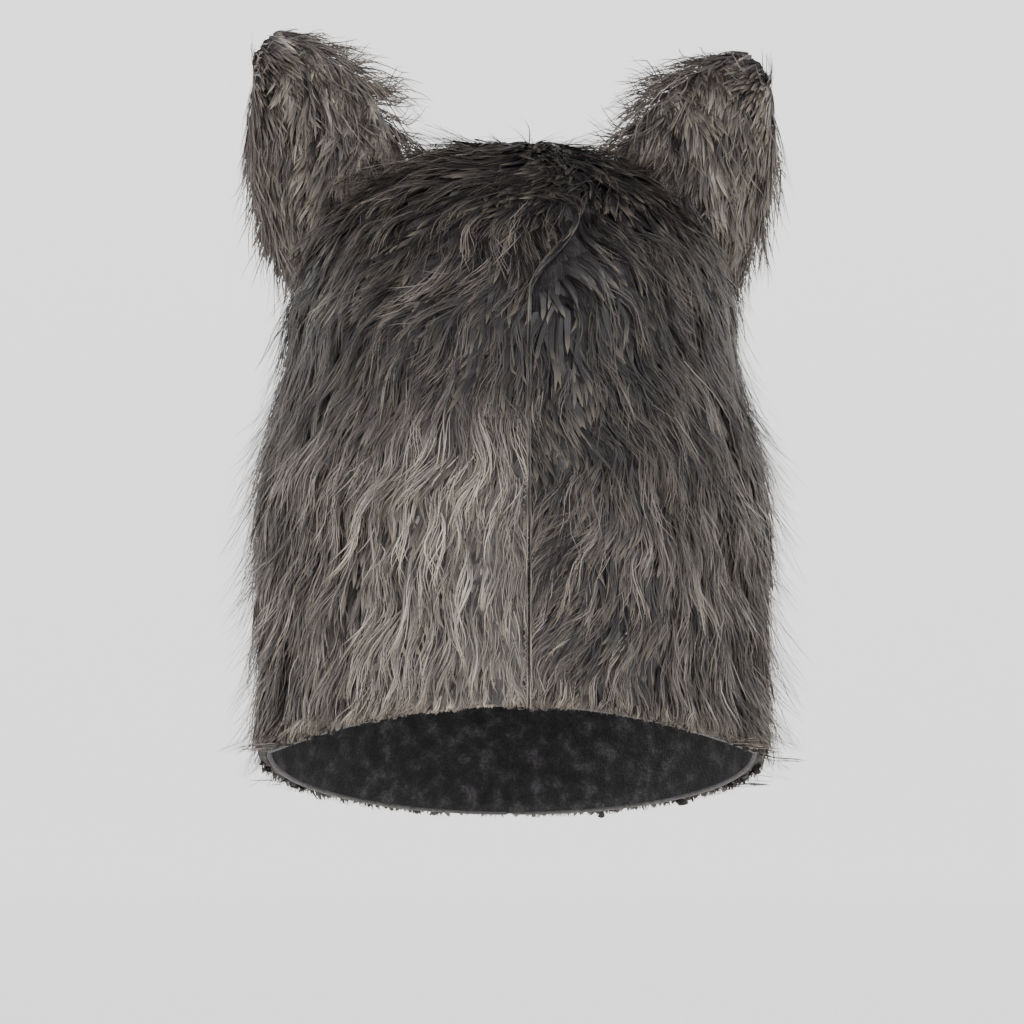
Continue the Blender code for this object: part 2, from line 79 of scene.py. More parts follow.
# %% Sizes and sections of the hood
HOOD_HALF_WIDTH = 0.110
BACK_DEPTH = 0.100
FRONT_DEPTH = 0.098
HOOD_HEIGHT = 0.246
SIDE_HEM_DROP = 0.024
FRONT_HEM_DROP = 0.032
DOME_DEPTH = 0.085
BACKING = 0.0018
TAPE_THICKNESS = 0.0015
LAP_PAST_CENTRE = 0.007
LAP_WIDTH = 0.022
LAP_FADE = 0.018
LAP_HEIGHT = BACKING + TAPE_THICKNESS + 0.001
SLIT_TOP = 0.036
SLIT_CURVE = 0.034
SLIT_SWEEP = 0.020
SECTION_COLUMNS = ("level", "half_width", "back", "front", "pinch")
SECTIONS = (
    (DOME_DEPTH / HOOD_HEIGHT, 0.86, 1.00, 0.97, 0.00),
    (0.48, 0.91, 1.01, 1.00, 0.08),
    (0.62, 0.985, 0.99, 1.00, 0.25),
    (0.80, 0.995, 0.96, 0.97, 0.48),
    (1.00, 1.00, 0.94, 0.96, 0.66),
    (1.24, 1.01, 0.93, 0.98, 0.76),
)
LEFT = 1
RIGHT = -1


def read_table(table, columns, column, at):
    """A cubic curve through one column: each span blends its two values and their slopes."""
    rows = np.array(table)
    places = rows[:, 0]
    values = rows[:, columns.index(column)]
    slopes = np.gradient(values, places)
    slopes[0] = 0.0
    low = np.clip(np.searchsorted(places, at) - 1, 0, len(places) - 2)
    span = places[low + 1] - places[low]
    share = np.clip((at - places[low]) / span, 0, 1)
    rest = 1 - share
    ends = values[low] * (1 + 2 * share) * rest**2 + values[low + 1] * (3 - 2 * share) * share**2
    bends = slopes[low] * share * rest**2 - slopes[low + 1] * share**2 * rest
    return ends + bends * span


def fade(value, start, end):
    """0 before start, 1 after end, and 3t squared less 2t cubed between."""
    share = np.clip((value - start) / (end - start), 0, 1)
    return share**2 * (3 - 2 * share)


# %% The hood's surface
def section(depth, lift):
    """Half-width, back depth, front depth and pinch at a depth below the crown."""
    level = np.maximum(depth, DOME_DEPTH) / HOOD_HEIGHT
    half_width = HOOD_HALF_WIDTH * read_table(SECTIONS, SECTION_COLUMNS, "half_width", level)
    back = BACK_DEPTH * read_table(SECTIONS, SECTION_COLUMNS, "back", level)
    front = FRONT_DEPTH * read_table(SECTIONS, SECTION_COLUMNS, "front", level)
    pinch = read_table(SECTIONS, SECTION_COLUMNS, "pinch", level)
    return half_width + lift, back + lift, front + lift, pinch


def hem_depth(angle):
    """The hem's depth: a sine squared behind, and a cosine in front of the side folds."""
    side_drop = SIDE_HEM_DROP * np.where(np.cos(angle) > 0, np.sin(angle) ** 2, 1)
    front_drop = FRONT_HEM_DROP * np.clip(-np.cos(angle), 0, 1)
    return HOOD_HEIGHT + side_drop + front_drop


def hood_point(angle, climb, lift):
    """Points with x = half-width times sine and y = depth times a pinched cosine.

    Above the dome's foot both shrink with the cosine of a quarter turn, and z grows with
    its sine.
    """
    angle, climb, lift = np.broadcast_arrays(angle, climb, lift)
    wall = np.minimum(climb, 1)
    turn = np.clip(climb - 1, 0, 1) * math.pi / 2
    depth = hem_depth(angle) * (1 - wall) + DOME_DEPTH * wall
    half_width, back, front, pinch = section(depth, lift)
    facing = np.cos(angle)
    swell = np.abs(facing) * (1 - pinch + pinch * np.abs(facing))
    x = half_width * np.cos(turn) * np.sin(angle)
    y = np.where(facing > 0, back, -front) * np.cos(turn) * swell
    z = BACKING - depth + (DOME_DEPTH + lift) * np.sin(turn)
    return np.stack((x, y, z), axis=-1)


def edge_angle(climb, under=False):
    """The lap's free edge: past the centre by a set width, swept aside at the slit's top."""
    depth = BACKING - hood_point(0.0, climb, 0.0)[..., 2]
    sweep = SLIT_SWEEP * fade(depth, SLIT_TOP + SLIT_CURVE, SLIT_TOP)
    x = -(LAP_PAST_CENTRE + sweep) * np.clip(depth / SLIT_TOP, 0, 1)
    if under:
        x = x + LAP_WIDTH * fade(depth, SLIT_TOP + SLIT_CURVE * 0.3, SLIT_TOP + SLIT_CURVE * 1.3)
    half_width = hood_point(math.pi / 2, climb, 0.0)[..., 0]
    return np.arcsin(np.clip(x / np.maximum(half_width, 0.001), -0.9, 0.9))


def on_half(side, angle, climb, lift):
    """Points of one half. The left one rises by the lap's height where it covers the right."""
    points = hood_point(angle, climb, lift)
    if side == RIGHT:
        return points
    inner_edge = LAP_WIDTH - LAP_PAST_CENTRE
    across = fade(points[..., 0], inner_edge + LAP_FADE, inner_edge)
    behind = fade(points[..., 1], 0.0, 0.02)
    depth = BACKING - points[..., 2]
    extra = LAP_HEIGHT * across * behind * fade(depth, SLIT_TOP * 0.55, SLIT_TOP)
    return hood_point(angle, climb, lift + extra)


print("hood from", hood_point(0.0, 0.0, 0.0).round(3), "to", hood_point(0.0, 2.0, 0.0).round(3))

# %% [markdown]
# ## Meshes from arrays
# A grid of points becomes a sheet, and two grids joined at their rims become a wall. All
# faces come from index arithmetic on whole arrays, and foreach_set moves them into Blender
# at once, which is what makes tens of thousands of strands possible.

# %% Helpers that make meshes
def new_piece(name, points, triangles, material, uv=None, node=None):
    """An object from points and triangles, riding on the mask. uv holds a pair per corner."""
    mesh = bpy.data.meshes.new(name)
    mesh.vertices.add(len(points))
    mesh.vertices.foreach_set("co", np.asarray(points, np.float32).ravel())
    mesh.loops.add(triangles.size)
    mesh.loops.foreach_set("vertex_index", np.asarray(triangles, np.int32).ravel())
    mesh.polygons.add(len(triangles))
    mesh.polygons.foreach_set("loop_start", np.arange(0, triangles.size, 3, dtype=np.int32))
    mesh.update(calc_edges=True)
    if uv is not None:
        layer = mesh.uv_layers.new(name="OFBake")
        layer.data.foreach_set("uv", np.asarray(uv, np.float32).ravel())
    mesh.shade_smooth()
    piece = bpy.data.objects.new(name, mesh)
    bpy.context.scene.collection.objects.link(piece)
    mesh.materials.append(material)
    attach(piece, "root")
    if node:
        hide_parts(node)
    print(name, len(triangles), "triangles")
    return piece


def grid_triangles(rows, columns, closed=False):
    """Two triangles for each cell of a grid that is stored row by row."""
    steps = columns if closed else columns - 1
    i, j = np.meshgrid(np.arange(rows - 1), np.arange(steps), indexing="ij")
    k = (j + 1) % columns
    a, b, c, d = (i * columns + j, i * columns + k, (i + 1) * columns + k, (i + 1) * columns + j)
    return np.concatenate((np.stack((a, b, c), -1).reshape(-1, 3), np.stack((a, c, d), -1).reshape(-1, 3)))


def wall_triangles(rows, columns, closed=False):
    """An outer grid, an inner grid turned the other way, and the rims between them."""
    outer = grid_triangles(rows, columns, closed)
    inner = outer[:, ::-1] + rows * columns
    count = rows * columns
    grid = np.arange(count).reshape(rows, columns)
    if closed:
        loops = [np.append(grid[-1], grid[-1, 0])[::-1]]
    else:
        loops = [np.concatenate((grid[0], grid[1:, -1], grid[-1, -2::-1], grid[-2::-1, 0]))]
    rims = []
    for loop in loops:
        a, b = loop[:-1], loop[1:]
        rims.append(np.stack((b, a, a + count), -1))
        rims.append(np.stack((b, a + count, b + count), -1))
    return np.concatenate((outer, inner, *rims))


def wall_piece(name, outer, inner, material, node=None, closed=False):
    """A closed wall between two grids of points, with doubles at a pole merged."""
    rows, columns = outer.shape[:2]
    points = np.concatenate((outer.reshape(-1, 3), inner.reshape(-1, 3)))
    triangles = wall_triangles(rows, columns, closed)
    _, first, which = np.unique(np.round(points, 7), axis=0, return_index=True, return_inverse=True)
    triangles = which.reshape(-1)[triangles]
    distinct = (np.diff(np.sort(triangles, axis=1), axis=1) > 0).all(axis=1)
    return new_piece(name, points[first], triangles[distinct], material, node=node)


# %% [markdown]
# ## Finishes
# Fur gets its colour from its strands: each strand has one tone along a scale from nearly
# black to silver, is darker near its root, where less light comes, and warmer at its tip.
# The tone and the place along the strand are the two numbers of the strand's own map, so
# the colour follows every strand however it bends. Cloth and rubber read the position on
# the object, and two effects that they share, a soft mottle and a fine grain, are groups.

# %% Helpers for materials
def start_material(name, roughness, sheen=0.0, specular=0.5):
    """A material with its Principled shader and the values that are the same all over."""
    material = bpy.data.materials.new(name)
    material.use_nodes = True
    tree = material.node_tree
    shader = tree.nodes["Principled BSDF"]
    shader.inputs["Roughness"].default_value = roughness
    shader.inputs["Sheen Weight"].default_value = sheen
    shader.inputs["Sheen Roughness"].default_value = 0.6
    shader.inputs["Specular IOR Level"].default_value = specular
    return material, tree, shader


def ramp(tree, factor, stops):
    """A colour scale: stops are (place, colour) pairs, and a number stands for a grey."""
    node = tree.nodes.new("ShaderNodeValToRGB")
    elements = node.color_ramp.elements
    while len(elements) < len(stops):
        elements.new(0.5)
    for element, (place, colour) in zip(elements, stops):
        element.position = place
        element.color = (*colour, 1.0) if isinstance(colour, tuple) else (colour, colour, colour, 1.0)
    tree.links.new(factor, node.inputs["Fac"])
    return node.outputs["Color"]


def blend(tree, mode, factor, first, second):
    """A colour mix. The factor and either colour may be a socket or a value."""
    node = tree.nodes.new("ShaderNodeMix")
    node.data_type = "RGBA"
    node.blend_type = mode
    for index, value in ((0, factor), (6, first), (7, second)):
        if isinstance(value, bpy.types.NodeSocket):
            tree.links.new(value, node.inputs[index])
        else:
            node.inputs[index].default_value = value if index == 0 else (*value, 1.0)
    return node.outputs[2]


def raise_surface(tree, shader, height, distance, strength=1.0):
    """A bump from a height socket, in metres."""
    node = tree.nodes.new("ShaderNodeBump")
    node.inputs["Strength"].default_value = strength
    node.inputs["Distance"].default_value = distance
    tree.links.new(height, node.inputs["Height"])
    tree.links.new(node.outputs["Normal"], shader.inputs["Normal"])


# %% Two shared effects
def noise_group(name, detail, roughness, low, high):
    """A mask from noise on Object coordinates, with its contrast set by low and high."""
    group = bpy.data.node_groups.new(name, "ShaderNodeTree")
    size = group.interface.new_socket("Scale", in_out="INPUT", socket_type="NodeSocketFloat")
    size.default_value = 100.0
    group.interface.new_socket("Mask", in_out="OUTPUT", socket_type="NodeSocketFloat")
    begin = group.nodes.new("NodeGroupInput")
    end = group.nodes.new("NodeGroupOutput")
    place = group.nodes.new("ShaderNodeTexCoord")
    noise = group.nodes.new("ShaderNodeTexNoise")
    noise.inputs["Detail"].default_value = detail
    noise.inputs["Roughness"].default_value = roughness
    spread = group.nodes.new("ShaderNodeMapRange")
    spread.inputs["From Min"].default_value = low
    spread.inputs["From Max"].default_value = high
    group.links.new(place.outputs["Object"], noise.inputs["Vector"])
    group.links.new(begin.outputs["Scale"], noise.inputs["Scale"])
    group.links.new(noise.outputs["Fac"], spread.inputs["Value"])
    group.links.new(spread.outputs["Result"], end.inputs["Mask"])
    return group


SOFT_MOTTLE = noise_group("soft_mottle", 3.0, 0.55, 0.35, 0.68)
FINE_GRAIN = noise_group("fine_grain", 6.0, 0.65, 0.30, 0.72)


def shared_mask(tree, group, scale):
    """One use of a shared effect at its own scale."""
    node = tree.nodes.new("ShaderNodeGroup")
    node.node_tree = group
    node.inputs["Scale"].default_value = scale
    return node.outputs["Mask"]


# %% The fur's own finish
def fur_finish(name, tones, tip_colour):
    """Colour from the strand's map: its tone across, its place from root to tip along.

    Noise stretched along the strand draws a few finer hairs inside each ribbon.
    """
    material, tree, shader = start_material(name, 0.45, specular=0.28)
    chart = tree.nodes.new("ShaderNodeUVMap")
    chart.uv_map = "OFBake"
    parts = tree.nodes.new("ShaderNodeSeparateXYZ")
    tree.links.new(chart.outputs["UV"], parts.inputs["Vector"])
    stretch = tree.nodes.new("ShaderNodeMapping")
    stretch.inputs["Scale"].default_value = (STREAKS, 2.4, 1.0)
    tree.links.new(chart.outputs["UV"], stretch.inputs["Vector"])
    hairs = tree.nodes.new("ShaderNodeTexNoise")
    hairs.noise_dimensions = "2D"
    hairs.inputs["Scale"].default_value = 1.0
    hairs.inputs["Detail"].default_value = 1.5
    tree.links.new(stretch.outputs["Vector"], hairs.inputs["Vector"])
    tone = ramp(tree, parts.outputs["X"], tones)
    streaked = blend(tree, "MULTIPLY", 1.0, tone, ramp(tree, hairs.outputs["Fac"], ((0.36, 0.46), (0.64, 1.48))))
    hue = ramp(tree, parts.outputs["Y"], ((0.0, (0.96, 0.88, 1.00)), (0.45, (1.0, 0.965, 0.965)), (1.0, (1.10, 1.01, 0.88))))
    tinted = blend(tree, "MULTIPLY", 1.0, streaked, hue)
    shade = ramp(tree, parts.outputs["Y"], ((0.0, 0.30), (0.35, 0.72), (0.70, 1.0)))
    shaded = blend(tree, "MULTIPLY", 1.0, tinted, shade)
    tip = ramp(tree, parts.outputs["Y"], ((0.72, 0.0), (1.0, 0.42)))
    colour = blend(tree, "MIX", tip, shaded, tip_colour)
    tree.links.new(colour, shader.inputs["Base Color"])
    return material


STREAKS = 520.0
FUR_TONES = (
    (0.00, (0.0130, 0.0115, 0.0125)),
    (0.22, (0.0330, 0.0290, 0.0300)),
    (0.45, (0.0950, 0.0850, 0.0820)),
    (0.70, (0.2450, 0.2250, 0.2050)),
    (1.00, (0.5400, 0.5050, 0.4500)),
)
fur_material = fur_finish("fur_strands", FUR_TONES, (0.240, 0.205, 0.160))


def undercoat_finish():
    """The dense pile below the strands: dark plum grey, lighter low down, in fine hairs that run downwards."""
    material, tree, shader = start_material("undercoat", 0.85, specular=0.2)
    place = tree.nodes.new("ShaderNodeTexCoord")
    stretch = tree.nodes.new("ShaderNodeMapping")
    stretch.inputs["Scale"].default_value = (1500.0, 1500.0, 110.0)
    tree.links.new(place.outputs["Object"], stretch.inputs["Vector"])
    hairs = tree.nodes.new("ShaderNodeTexNoise")
    hairs.inputs["Scale"].default_value = 1.0
    hairs.inputs["Detail"].default_value = 2.0
    tree.links.new(stretch.outputs["Vector"], hairs.inputs["Vector"])
    tufts = shared_mask(tree, SOFT_MOTTLE, 120.0)
    ground = ramp(tree, tufts, ((0.0, (0.012, 0.0105, 0.0115)), (1.0, (0.044, 0.040, 0.042))))
    low = ramp(tree, tufts, ((0.0, (0.036, 0.033, 0.032)), (1.0, (0.100, 0.092, 0.088))))
    parts = tree.nodes.new("ShaderNodeSeparateXYZ")
    tree.links.new(place.outputs["Object"], parts.inputs["Vector"])
    depth = tree.nodes.new("ShaderNodeMapRange")
    depth.inputs["From Min"].default_value = -0.09
    depth.inputs["From Max"].default_value = -0.17
    tree.links.new(parts.outputs["Z"], depth.inputs["Value"])
    ground = blend(tree, "MIX", depth.outputs["Result"], ground, low)
    colour = blend(tree, "MULTIPLY", 1.0, ground, ramp(tree, hairs.outputs["Fac"], ((0.30, 0.55), (0.70, 1.45))))
    tree.links.new(colour, shader.inputs["Base Color"])
    raise_surface(tree, shader, hairs.outputs["Fac"], 0.0008)
    return material


def knit_finish():
    """The knitted backing: grey yarn with pale flecks and a fine raised grain."""
    material, tree, shader = start_material("knit_backing", 0.95, sheen=0.05, specular=0.2)
    patches = shared_mask(tree, SOFT_MOTTLE, 130.0)
    flecks = shared_mask(tree, FINE_GRAIN, 900.0)
    ground = ramp(tree, patches, ((0.0, (0.0085, 0.0080, 0.0088)), (0.55, (0.020, 0.0190, 0.0205)), (1.0, (0.052, 0.049, 0.052))))
    fleck = ramp(tree, flecks, ((0.3, 0.55), (0.8, 1.25)))
    tree.links.new(blend(tree, "MULTIPLY", 1.0, ground, fleck), shader.inputs["Base Color"])
    raise_surface(tree, shader, flecks, 0.0006)
    return material


undercoat_material = undercoat_finish()
knit_material = knit_finish()
print("finishes:", [m.name for m in bpy.data.materials if m.use_nodes][-3:])

# %% [markdown]
# ## The backing cloth
# Where the hood hangs open at the hem, its knitted backing shows from inside, with the cut
# edge as a thin pale line. Each half is a wall as thick as the cloth, worked out from the
# hood's formula on a finer grid than the fixed model's.

# %% Both halves of the backing, and their cut edge
HEM_RADIUS = 0.0011
OPENING_HALF_WIDTH = 0.068
OPENING_HALF_HEIGHT = 0.074
OPENING_DEPTH = 0.128


def half_angles(side, climb, columns, under=False):
    """Angles from a half's back edge to the centre front, one row for each climb."""
    start = edge_angle(climb, under)[:, None]
    share = np.linspace(0, 1, columns)[None, :]
    return start + (side * math.pi - start) * share


def opening_mask(points, margin=0.0):
    """True inside the oval face opening, which may be grown by a margin."""
    wide = points[..., 0] / (OPENING_HALF_WIDTH + margin)
    high = (points[..., 2] + OPENING_DEPTH) / (OPENING_HALF_HEIGHT + margin)
    return (points[..., 1] < -0.01) & (wide**2 + high**2 < 1)


def cut_with(piece, cutter_points, y_range):
    """Cut a prism along Y out of a piece: an exact Boolean, applied to the mesh."""
    count = len(cutter_points)
    near = np.column_stack((cutter_points[:, 0], np.full(count, y_range[0]), cutter_points[:, 1]))
    far = np.column_stack((cutter_points[:, 0], np.full(count, y_range[1]), cutter_points[:, 1]))
    j = np.arange(count)
    k = (j + 1) % count
    sides = np.column_stack((k, j, j + count, k + count)).tolist()
    faces = [*sides, list(range(count)), list(range(count, 2 * count))[::-1]]
    mesh = bpy.data.meshes.new("cutter")
    mesh.from_pydata(np.concatenate((near, far)).tolist(), [], faces)
    cutter = bpy.data.objects.new("cutter", mesh)
    bpy.context.scene.collection.objects.link(cutter)
    modifier = piece.modifiers.new("cut", "BOOLEAN")
    modifier.object = cutter
    modifier.operation = "DIFFERENCE"
    modifier.solver = "EXACT"
    seen = piece.evaluated_get(bpy.context.evaluated_depsgraph_get())
    done = bpy.data.meshes.new_from_object(seen)
    piece.modifiers.clear()
    old = piece.data
    piece.data = done
    bpy.data.meshes.remove(old)
    bpy.data.objects.remove(cutter)


def oval(half_width, half_height, x, z, tilt=0.0, count=96):
    """Points of a tilted oval in the X and Z plane."""
    turn = np.linspace(0, 2 * math.pi, count, endpoint=False)
    wide, high = half_width * np.cos(turn), half_height * np.sin(turn)
    return np.column_stack(
        (x + wide * math.cos(tilt) - high * math.sin(tilt), z + wide * math.sin(tilt) + high * math.cos(tilt))
    )


def tube(path, radius, sides=8):
    """A round cord along a path, its ends drawn in to a point: rings square to the path."""
    along = np.gradient(path, axis=0)
    along /= np.linalg.norm(along, axis=1, keepdims=True)
    up = np.array((0.0, 0.6, 0.8))
    across = np.cross(along, up)
    across /= np.linalg.norm(across, axis=1, keepdims=True)
    other = np.cross(along, across)
    turn = np.linspace(0, 2 * math.pi, sides, endpoint=False)[None, :, None]
    size = np.full(len(path), radius)
    size[[0, -1]] = radius * 0.02
    ring = across[:, None] * np.cos(turn) + other[:, None] * np.sin(turn)
    return path[:, None] + ring * size[:, None, None]


def tube_triangles(rows, sides):
    """A tube's faces with both ends closed by a fan."""
    body = grid_triangles(rows, sides, closed=True)
    fan = np.column_stack((np.zeros(sides - 2, int), np.arange(2, sides), np.arange(1, sides - 1)))
    return np.concatenate((body, fan, fan[:, ::-1] + (rows - 1) * sides))


def hem_finish():
    """The cut edge of the cloth: grey yarn ends, with a darker stitch here and there."""
    material, tree, shader = start_material("hem_edge", 0.9, sheen=0.1)
    flecks = shared_mask(tree, FINE_GRAIN, 500.0)
    colour = ramp(tree, flecks, ((0.0, (0.022, 0.020, 0.020)), (1.0, (0.090, 0.084, 0.081))))
    tree.links.new(colour, shader.inputs["Base Color"])
    raise_surface(tree, shader, flecks, 0.0004)
    return material


hem_material = hem_finish()
CLIMBS = np.concatenate((np.linspace(0, 1, 46)[:-1], np.linspace(1, 2, 34)))
OPENING_OVAL = oval(OPENING_HALF_WIDTH, OPENING_HALF_HEIGHT, 0.0, -OPENING_DEPTH)
for side, word in ((LEFT, "left"), (RIGHT, "right")):
    angles = half_angles(side, CLIMBS, 72, under=side == RIGHT)
    outer = on_half(side, angles, CLIMBS[:, None], 0.0)
    inner = on_half(side, angles, CLIMBS[:, None], -BACKING)
    if side == LEFT:
        outer, inner = outer[:, ::-1], inner[:, ::-1]
    cloth = wall_piece(word + "_backing", outer, inner, knit_material, word + "_panel")
    cut_with(cloth, OPENING_OVAL, (-0.25, -0.01))
    girth = half_angles(side, np.array([0.0]), 120, under=side == RIGHT)[0]
    hem = on_half(side, girth, 0.0, -BACKING / 2)
    new_piece(word + "_hem_edge", tube(hem, HEM_RADIUS).reshape(-1, 3), tube_triangles(120, 8), hem_material)

# %% [markdown]
# ## The undercoat
# Long-pile fur has a dense layer of short hair under its long strands. Between the strands
# it reads as a dark, uneven ground, so it is a low skin over the cloth with gentle lumps.

# %% Both halves of the undercoat
def lumps(points, size, seed):
    """Sines of the position along slanted directions, added up to about plus or minus 1."""
    draw = np.random.default_rng(seed)
    total = np.zeros(points.shape[:-1])
    for _ in range(5):
        direction = draw.normal(size=3)
        direction *= 2 * math.pi / size / np.linalg.norm(direction) * draw.uniform(0.7, 1.4)
        total += np.sin(points @ direction + draw.uniform(0, 6.3))
    return total / 3


UNDERCOAT = 0.0032
for side, word in ((LEFT, "left"), (RIGHT, "right")):
    angles = half_angles(side, CLIMBS, 90)
    base = on_half(side, angles, CLIMBS[:, None], UNDERCOAT)
    outer = on_half(side, angles, CLIMBS[:, None], UNDERCOAT + 0.0009 * lumps(base, 0.012, 5))
    inner = on_half(side, angles, CLIMBS[:, None], 0.0004)
    if side == LEFT:
        outer, inner = outer[:, ::-1], inner[:, ::-1]
    coat = wall_piece(word + "_undercoat", outer, inner, undercoat_material, word + "_fur")
    cut_with(coat, OPENING_OVAL, (-0.25, -0.01))

# %% [markdown]
# ## Long strands
# The look of the mask is its hair: wavy locks that cling together at their tips, nearly
# black over the crown and silver-brown lower down. Each strand is a thin ribbon. Its path
# is worked out in the hood's own angle and climb, so it follows the cloth. Strands near
# each other share a lock, and draw together towards that lock's tip.

# %% Which way the fur is combed, and how light it is
def combed(points, side):
    """A direction for each point: down, away from the crown, and away from the face.

    Near the top of the lap both halves lean away from it. Lower down the right half turns
    back in to the lap, which bends its locks into a C, and both sides lean outwards.
    """
    x, y, z = points[..., 0], points[..., 1], points[..., 2]
    crown = fade(z, -0.085, -0.005)
    behind = fade(y, -0.01, 0.04)
    from_parting = x + 0.020 * behind
    radius = np.hypot(from_parting, y) + 1e-6
    upper = fade(z, -0.125, -0.060) * fade(z, -0.022, -0.040)
    lower = fade(z, -0.100, -0.155)
    drift = 0.26 * lumps(points, 0.050, 21) * (1 - 0.5 * crown)
    outward = 1.25 * crown * from_parting / radius + 0.25 * behind * x / HOOD_HALF_WIDTH
    near_lap = fade(np.abs(x + LAP_PAST_CENTRE), 0.003, 0.024)
    away = 0.62 * side * upper * behind * near_lap * (1 - fade(np.abs(x), 0.060, 0.095))
    seam = np.exp(-(((x + 0.030) / 0.026) ** 2))
    turned = (0.34 * fade(x, -0.110, -0.080) + 0.38 * seam) * lower * behind * (side == RIGHT)
    side_x = drift + outward + away + turned
    side_y = 0.55 * crown * y / radius
    down = -1.0 + 0.45 * crown
    wide = x / OPENING_HALF_WIDTH
    high = (z + OPENING_DEPTH) / OPENING_HALF_HEIGHT
    from_face = np.hypot(wide, high) + 1e-6
    aside = fade(from_face, 1.9, 1.05) * (1 - fade(y, -0.05, 0.0))
    side_x = side_x + 0.8 * aside * wide / from_face
    down = down + aside * np.where(high > 0, 0.35, 1.2) * high / from_face
    return np.stack((side_x, side_y, down), axis=-1)


def flattened(points):
    """1 where the hair lies short and flat, beside the lower half of the lap's free edge."""
    x, y, z = points[..., 0], points[..., 1], points[..., 2]
    beside = np.exp(-(((x - 0.004) / 0.016) ** 2)) * (x > -LAP_PAST_CENTRE)
    return beside * fade(z, -0.110, -0.160) * (y > 0)


def bands(points):
    """Light and dark bands that run down the fur: sines across, bent by a slow sine down."""
    x, y, z = points[..., 0], points[..., 1], points[..., 2]
    girth = np.arctan2(x, y) * 0.105 + 0.0030 * np.sin(z * 2 * math.pi / WAVE_RUN + 2.0 * lumps(points, 0.060, 3))
    total = np.zeros(z.shape)
    for run, fall, start in ((0.0125, 0.090, 0.4), (0.0083, -0.070, 2.0), (0.0191, 0.120, 4.1), (0.0061, 0.055, 1.3)):
        total += np.sin(2 * math.pi * (girth / run + z / fall) + start + 2.5 * lumps(points, 0.045, 9))
    return total / 2.6


def fur_tone_and_shadow(points):
    """How light the fur is, from 0 to 1, region by region of the back, with a painted shadow beside the lap's free
    edge.
    """
    x, y, z = points[..., 0], points[..., 1], points[..., 2]
    behind = fade(y, 0.0, 0.03)
    start = np.where(x > -LAP_PAST_CENTRE, -0.078, -0.098)
    lower = fade(z, start, start - 0.055)
    tone = 0.11 + 0.21 * lower - 0.03 * behind * lower * (x < -LAP_PAST_CENTRE)
    tone = tone + 0.15 * behind * np.exp(-(((x - 0.028) / 0.028) ** 2)) * fade(z, -0.075, -0.120)
    # Painted shadow: the right half is darkened just beside the lap's free edge, where the lifted lap shades it.
    tone = tone - 0.17 * behind * np.exp(-(((x + 0.022) / 0.018) ** 2)) * (1 - fade(z, -0.130, -0.190))
    tone = tone - 0.09 * behind * fade(x, -0.010, -0.040) * (1 - fade(x, -0.075, -0.100))
    tone = tone + 0.13 * behind * np.exp(-(((x + 0.076) / 0.018) ** 2 + ((z + 0.045) / 0.030) ** 2))
    tone = tone + 0.06 * lumps(points, 0.035, 7) * lower + 0.09 * flattened(points)
    tone = tone - 0.01 * fade(z, -0.060, -0.025)
    return tone + 0.15 * bands(points) * (0.45 + 0.55 * lower) * (1 - 0.5 * flattened(points))


# %% Measures that the strands share
HOOD_STEPS = 9
EAR_STEPS = 7
ACROSS = 4.0
WAVE_RUN = 0.038
KIND_COLUMNS = ("per_lock", "spread", "gather", "width", "length", "wave", "lift", "flick", "tone", "tone_spread", "share_light")
PILE_HAIR = (5, 0.0040, 0.45, 0.0030, 0.032, 0.0016, 0.0030, 0.002, -0.06, 0.070, 0.04)
WISPS = (7, 0.0014, 0.85, 0.00050, 0.042, 0.0024, 0.0060, 0.010, 0.02, 0.080, 0.36)


def scatter(side, count, from_share, to_share, draw):
    """Random angles and climbs: trials kept by their area, four times as many round the face."""
    climb = draw.uniform(0, 1.97, count * 7)
    start = edge_angle(climb)
    angle = start + (side * math.pi - start) * draw.uniform(from_share, to_share, count * 7)
    here = hood_point(angle, climb, 0.0)
    step_a = hood_point(angle + 0.01, climb, 0.0) - here
    step_c = hood_point(angle, climb + 0.01, 0.0) - here
    area = np.linalg.norm(np.cross(step_a, step_c), axis=-1)
    chance = area * np.where(opening_mask(here, 0.012), 4.0, 1.0)
    kept = (draw.uniform(0, area.max() * 0.8, len(area)) < chance) & ~opening_mask(here, 0.001)
    return angle[kept][:count], climb[kept][:count]


def nearest(points, centres):
    """For each point, the number of the centre with the least squared distance."""
    gap = (points**2).sum(1)[:, None] + (centres**2).sum(1) - 2 * points @ centres.T
    return gap.argmin(1)


def ribbons(path, outward, width, roll):
    """Ribbons along paths. Their sides stand square to path and outward, turned by roll.

    Each ribbon has two points a step and a single one at its tip. Its map holds one tone
    across and the place from root to tip along.
    """
    count, steps = path.shape[:2]
    along = np.gradient(path, axis=1)
    across = np.cross(along, outward)
    across /= np.linalg.norm(across, axis=-1, keepdims=True) + 1e-12
    lean = np.cos(roll)[:, None, None] * across + np.sin(roll)[:, None, None] * outward
    place = np.linspace(0, 1, steps)
    half = 0.5 * width[:, None] * (1 - 0.60 * place[None, :] ** 2)
    first = path - lean * half[..., None]
    second = path + lean * half[..., None]
    points = np.concatenate((np.stack((first, second), 2)[:, :-1].reshape(count, -1, 3), path[:, -1:]), 1)
    k = np.arange(steps - 2)
    pairs = np.concatenate((np.stack((2 * k, 2 * k + 1, 2 * k + 3), -1), np.stack((2 * k, 2 * k + 3, 2 * k + 2), -1)))
    last = 2 * (steps - 2)
    faces = np.concatenate((pairs, [[last, last + 1, last + 2]]))
    each = 2 * (steps - 1) + 1
    triangles = (faces[None] + each * np.arange(count)[:, None, None]).reshape(-1, 3)
    v = np.append(np.repeat(place[:-1], 2), 1.0)[faces].reshape(1, -1)
    sides = np.append(np.tile((-1.0, 1.0), steps - 1), 0.0)[faces].reshape(1, -1)
    return points.reshape(-1, 3), triangles, np.tile(v, (count, 1)), np.tile(sides, (count, 1))


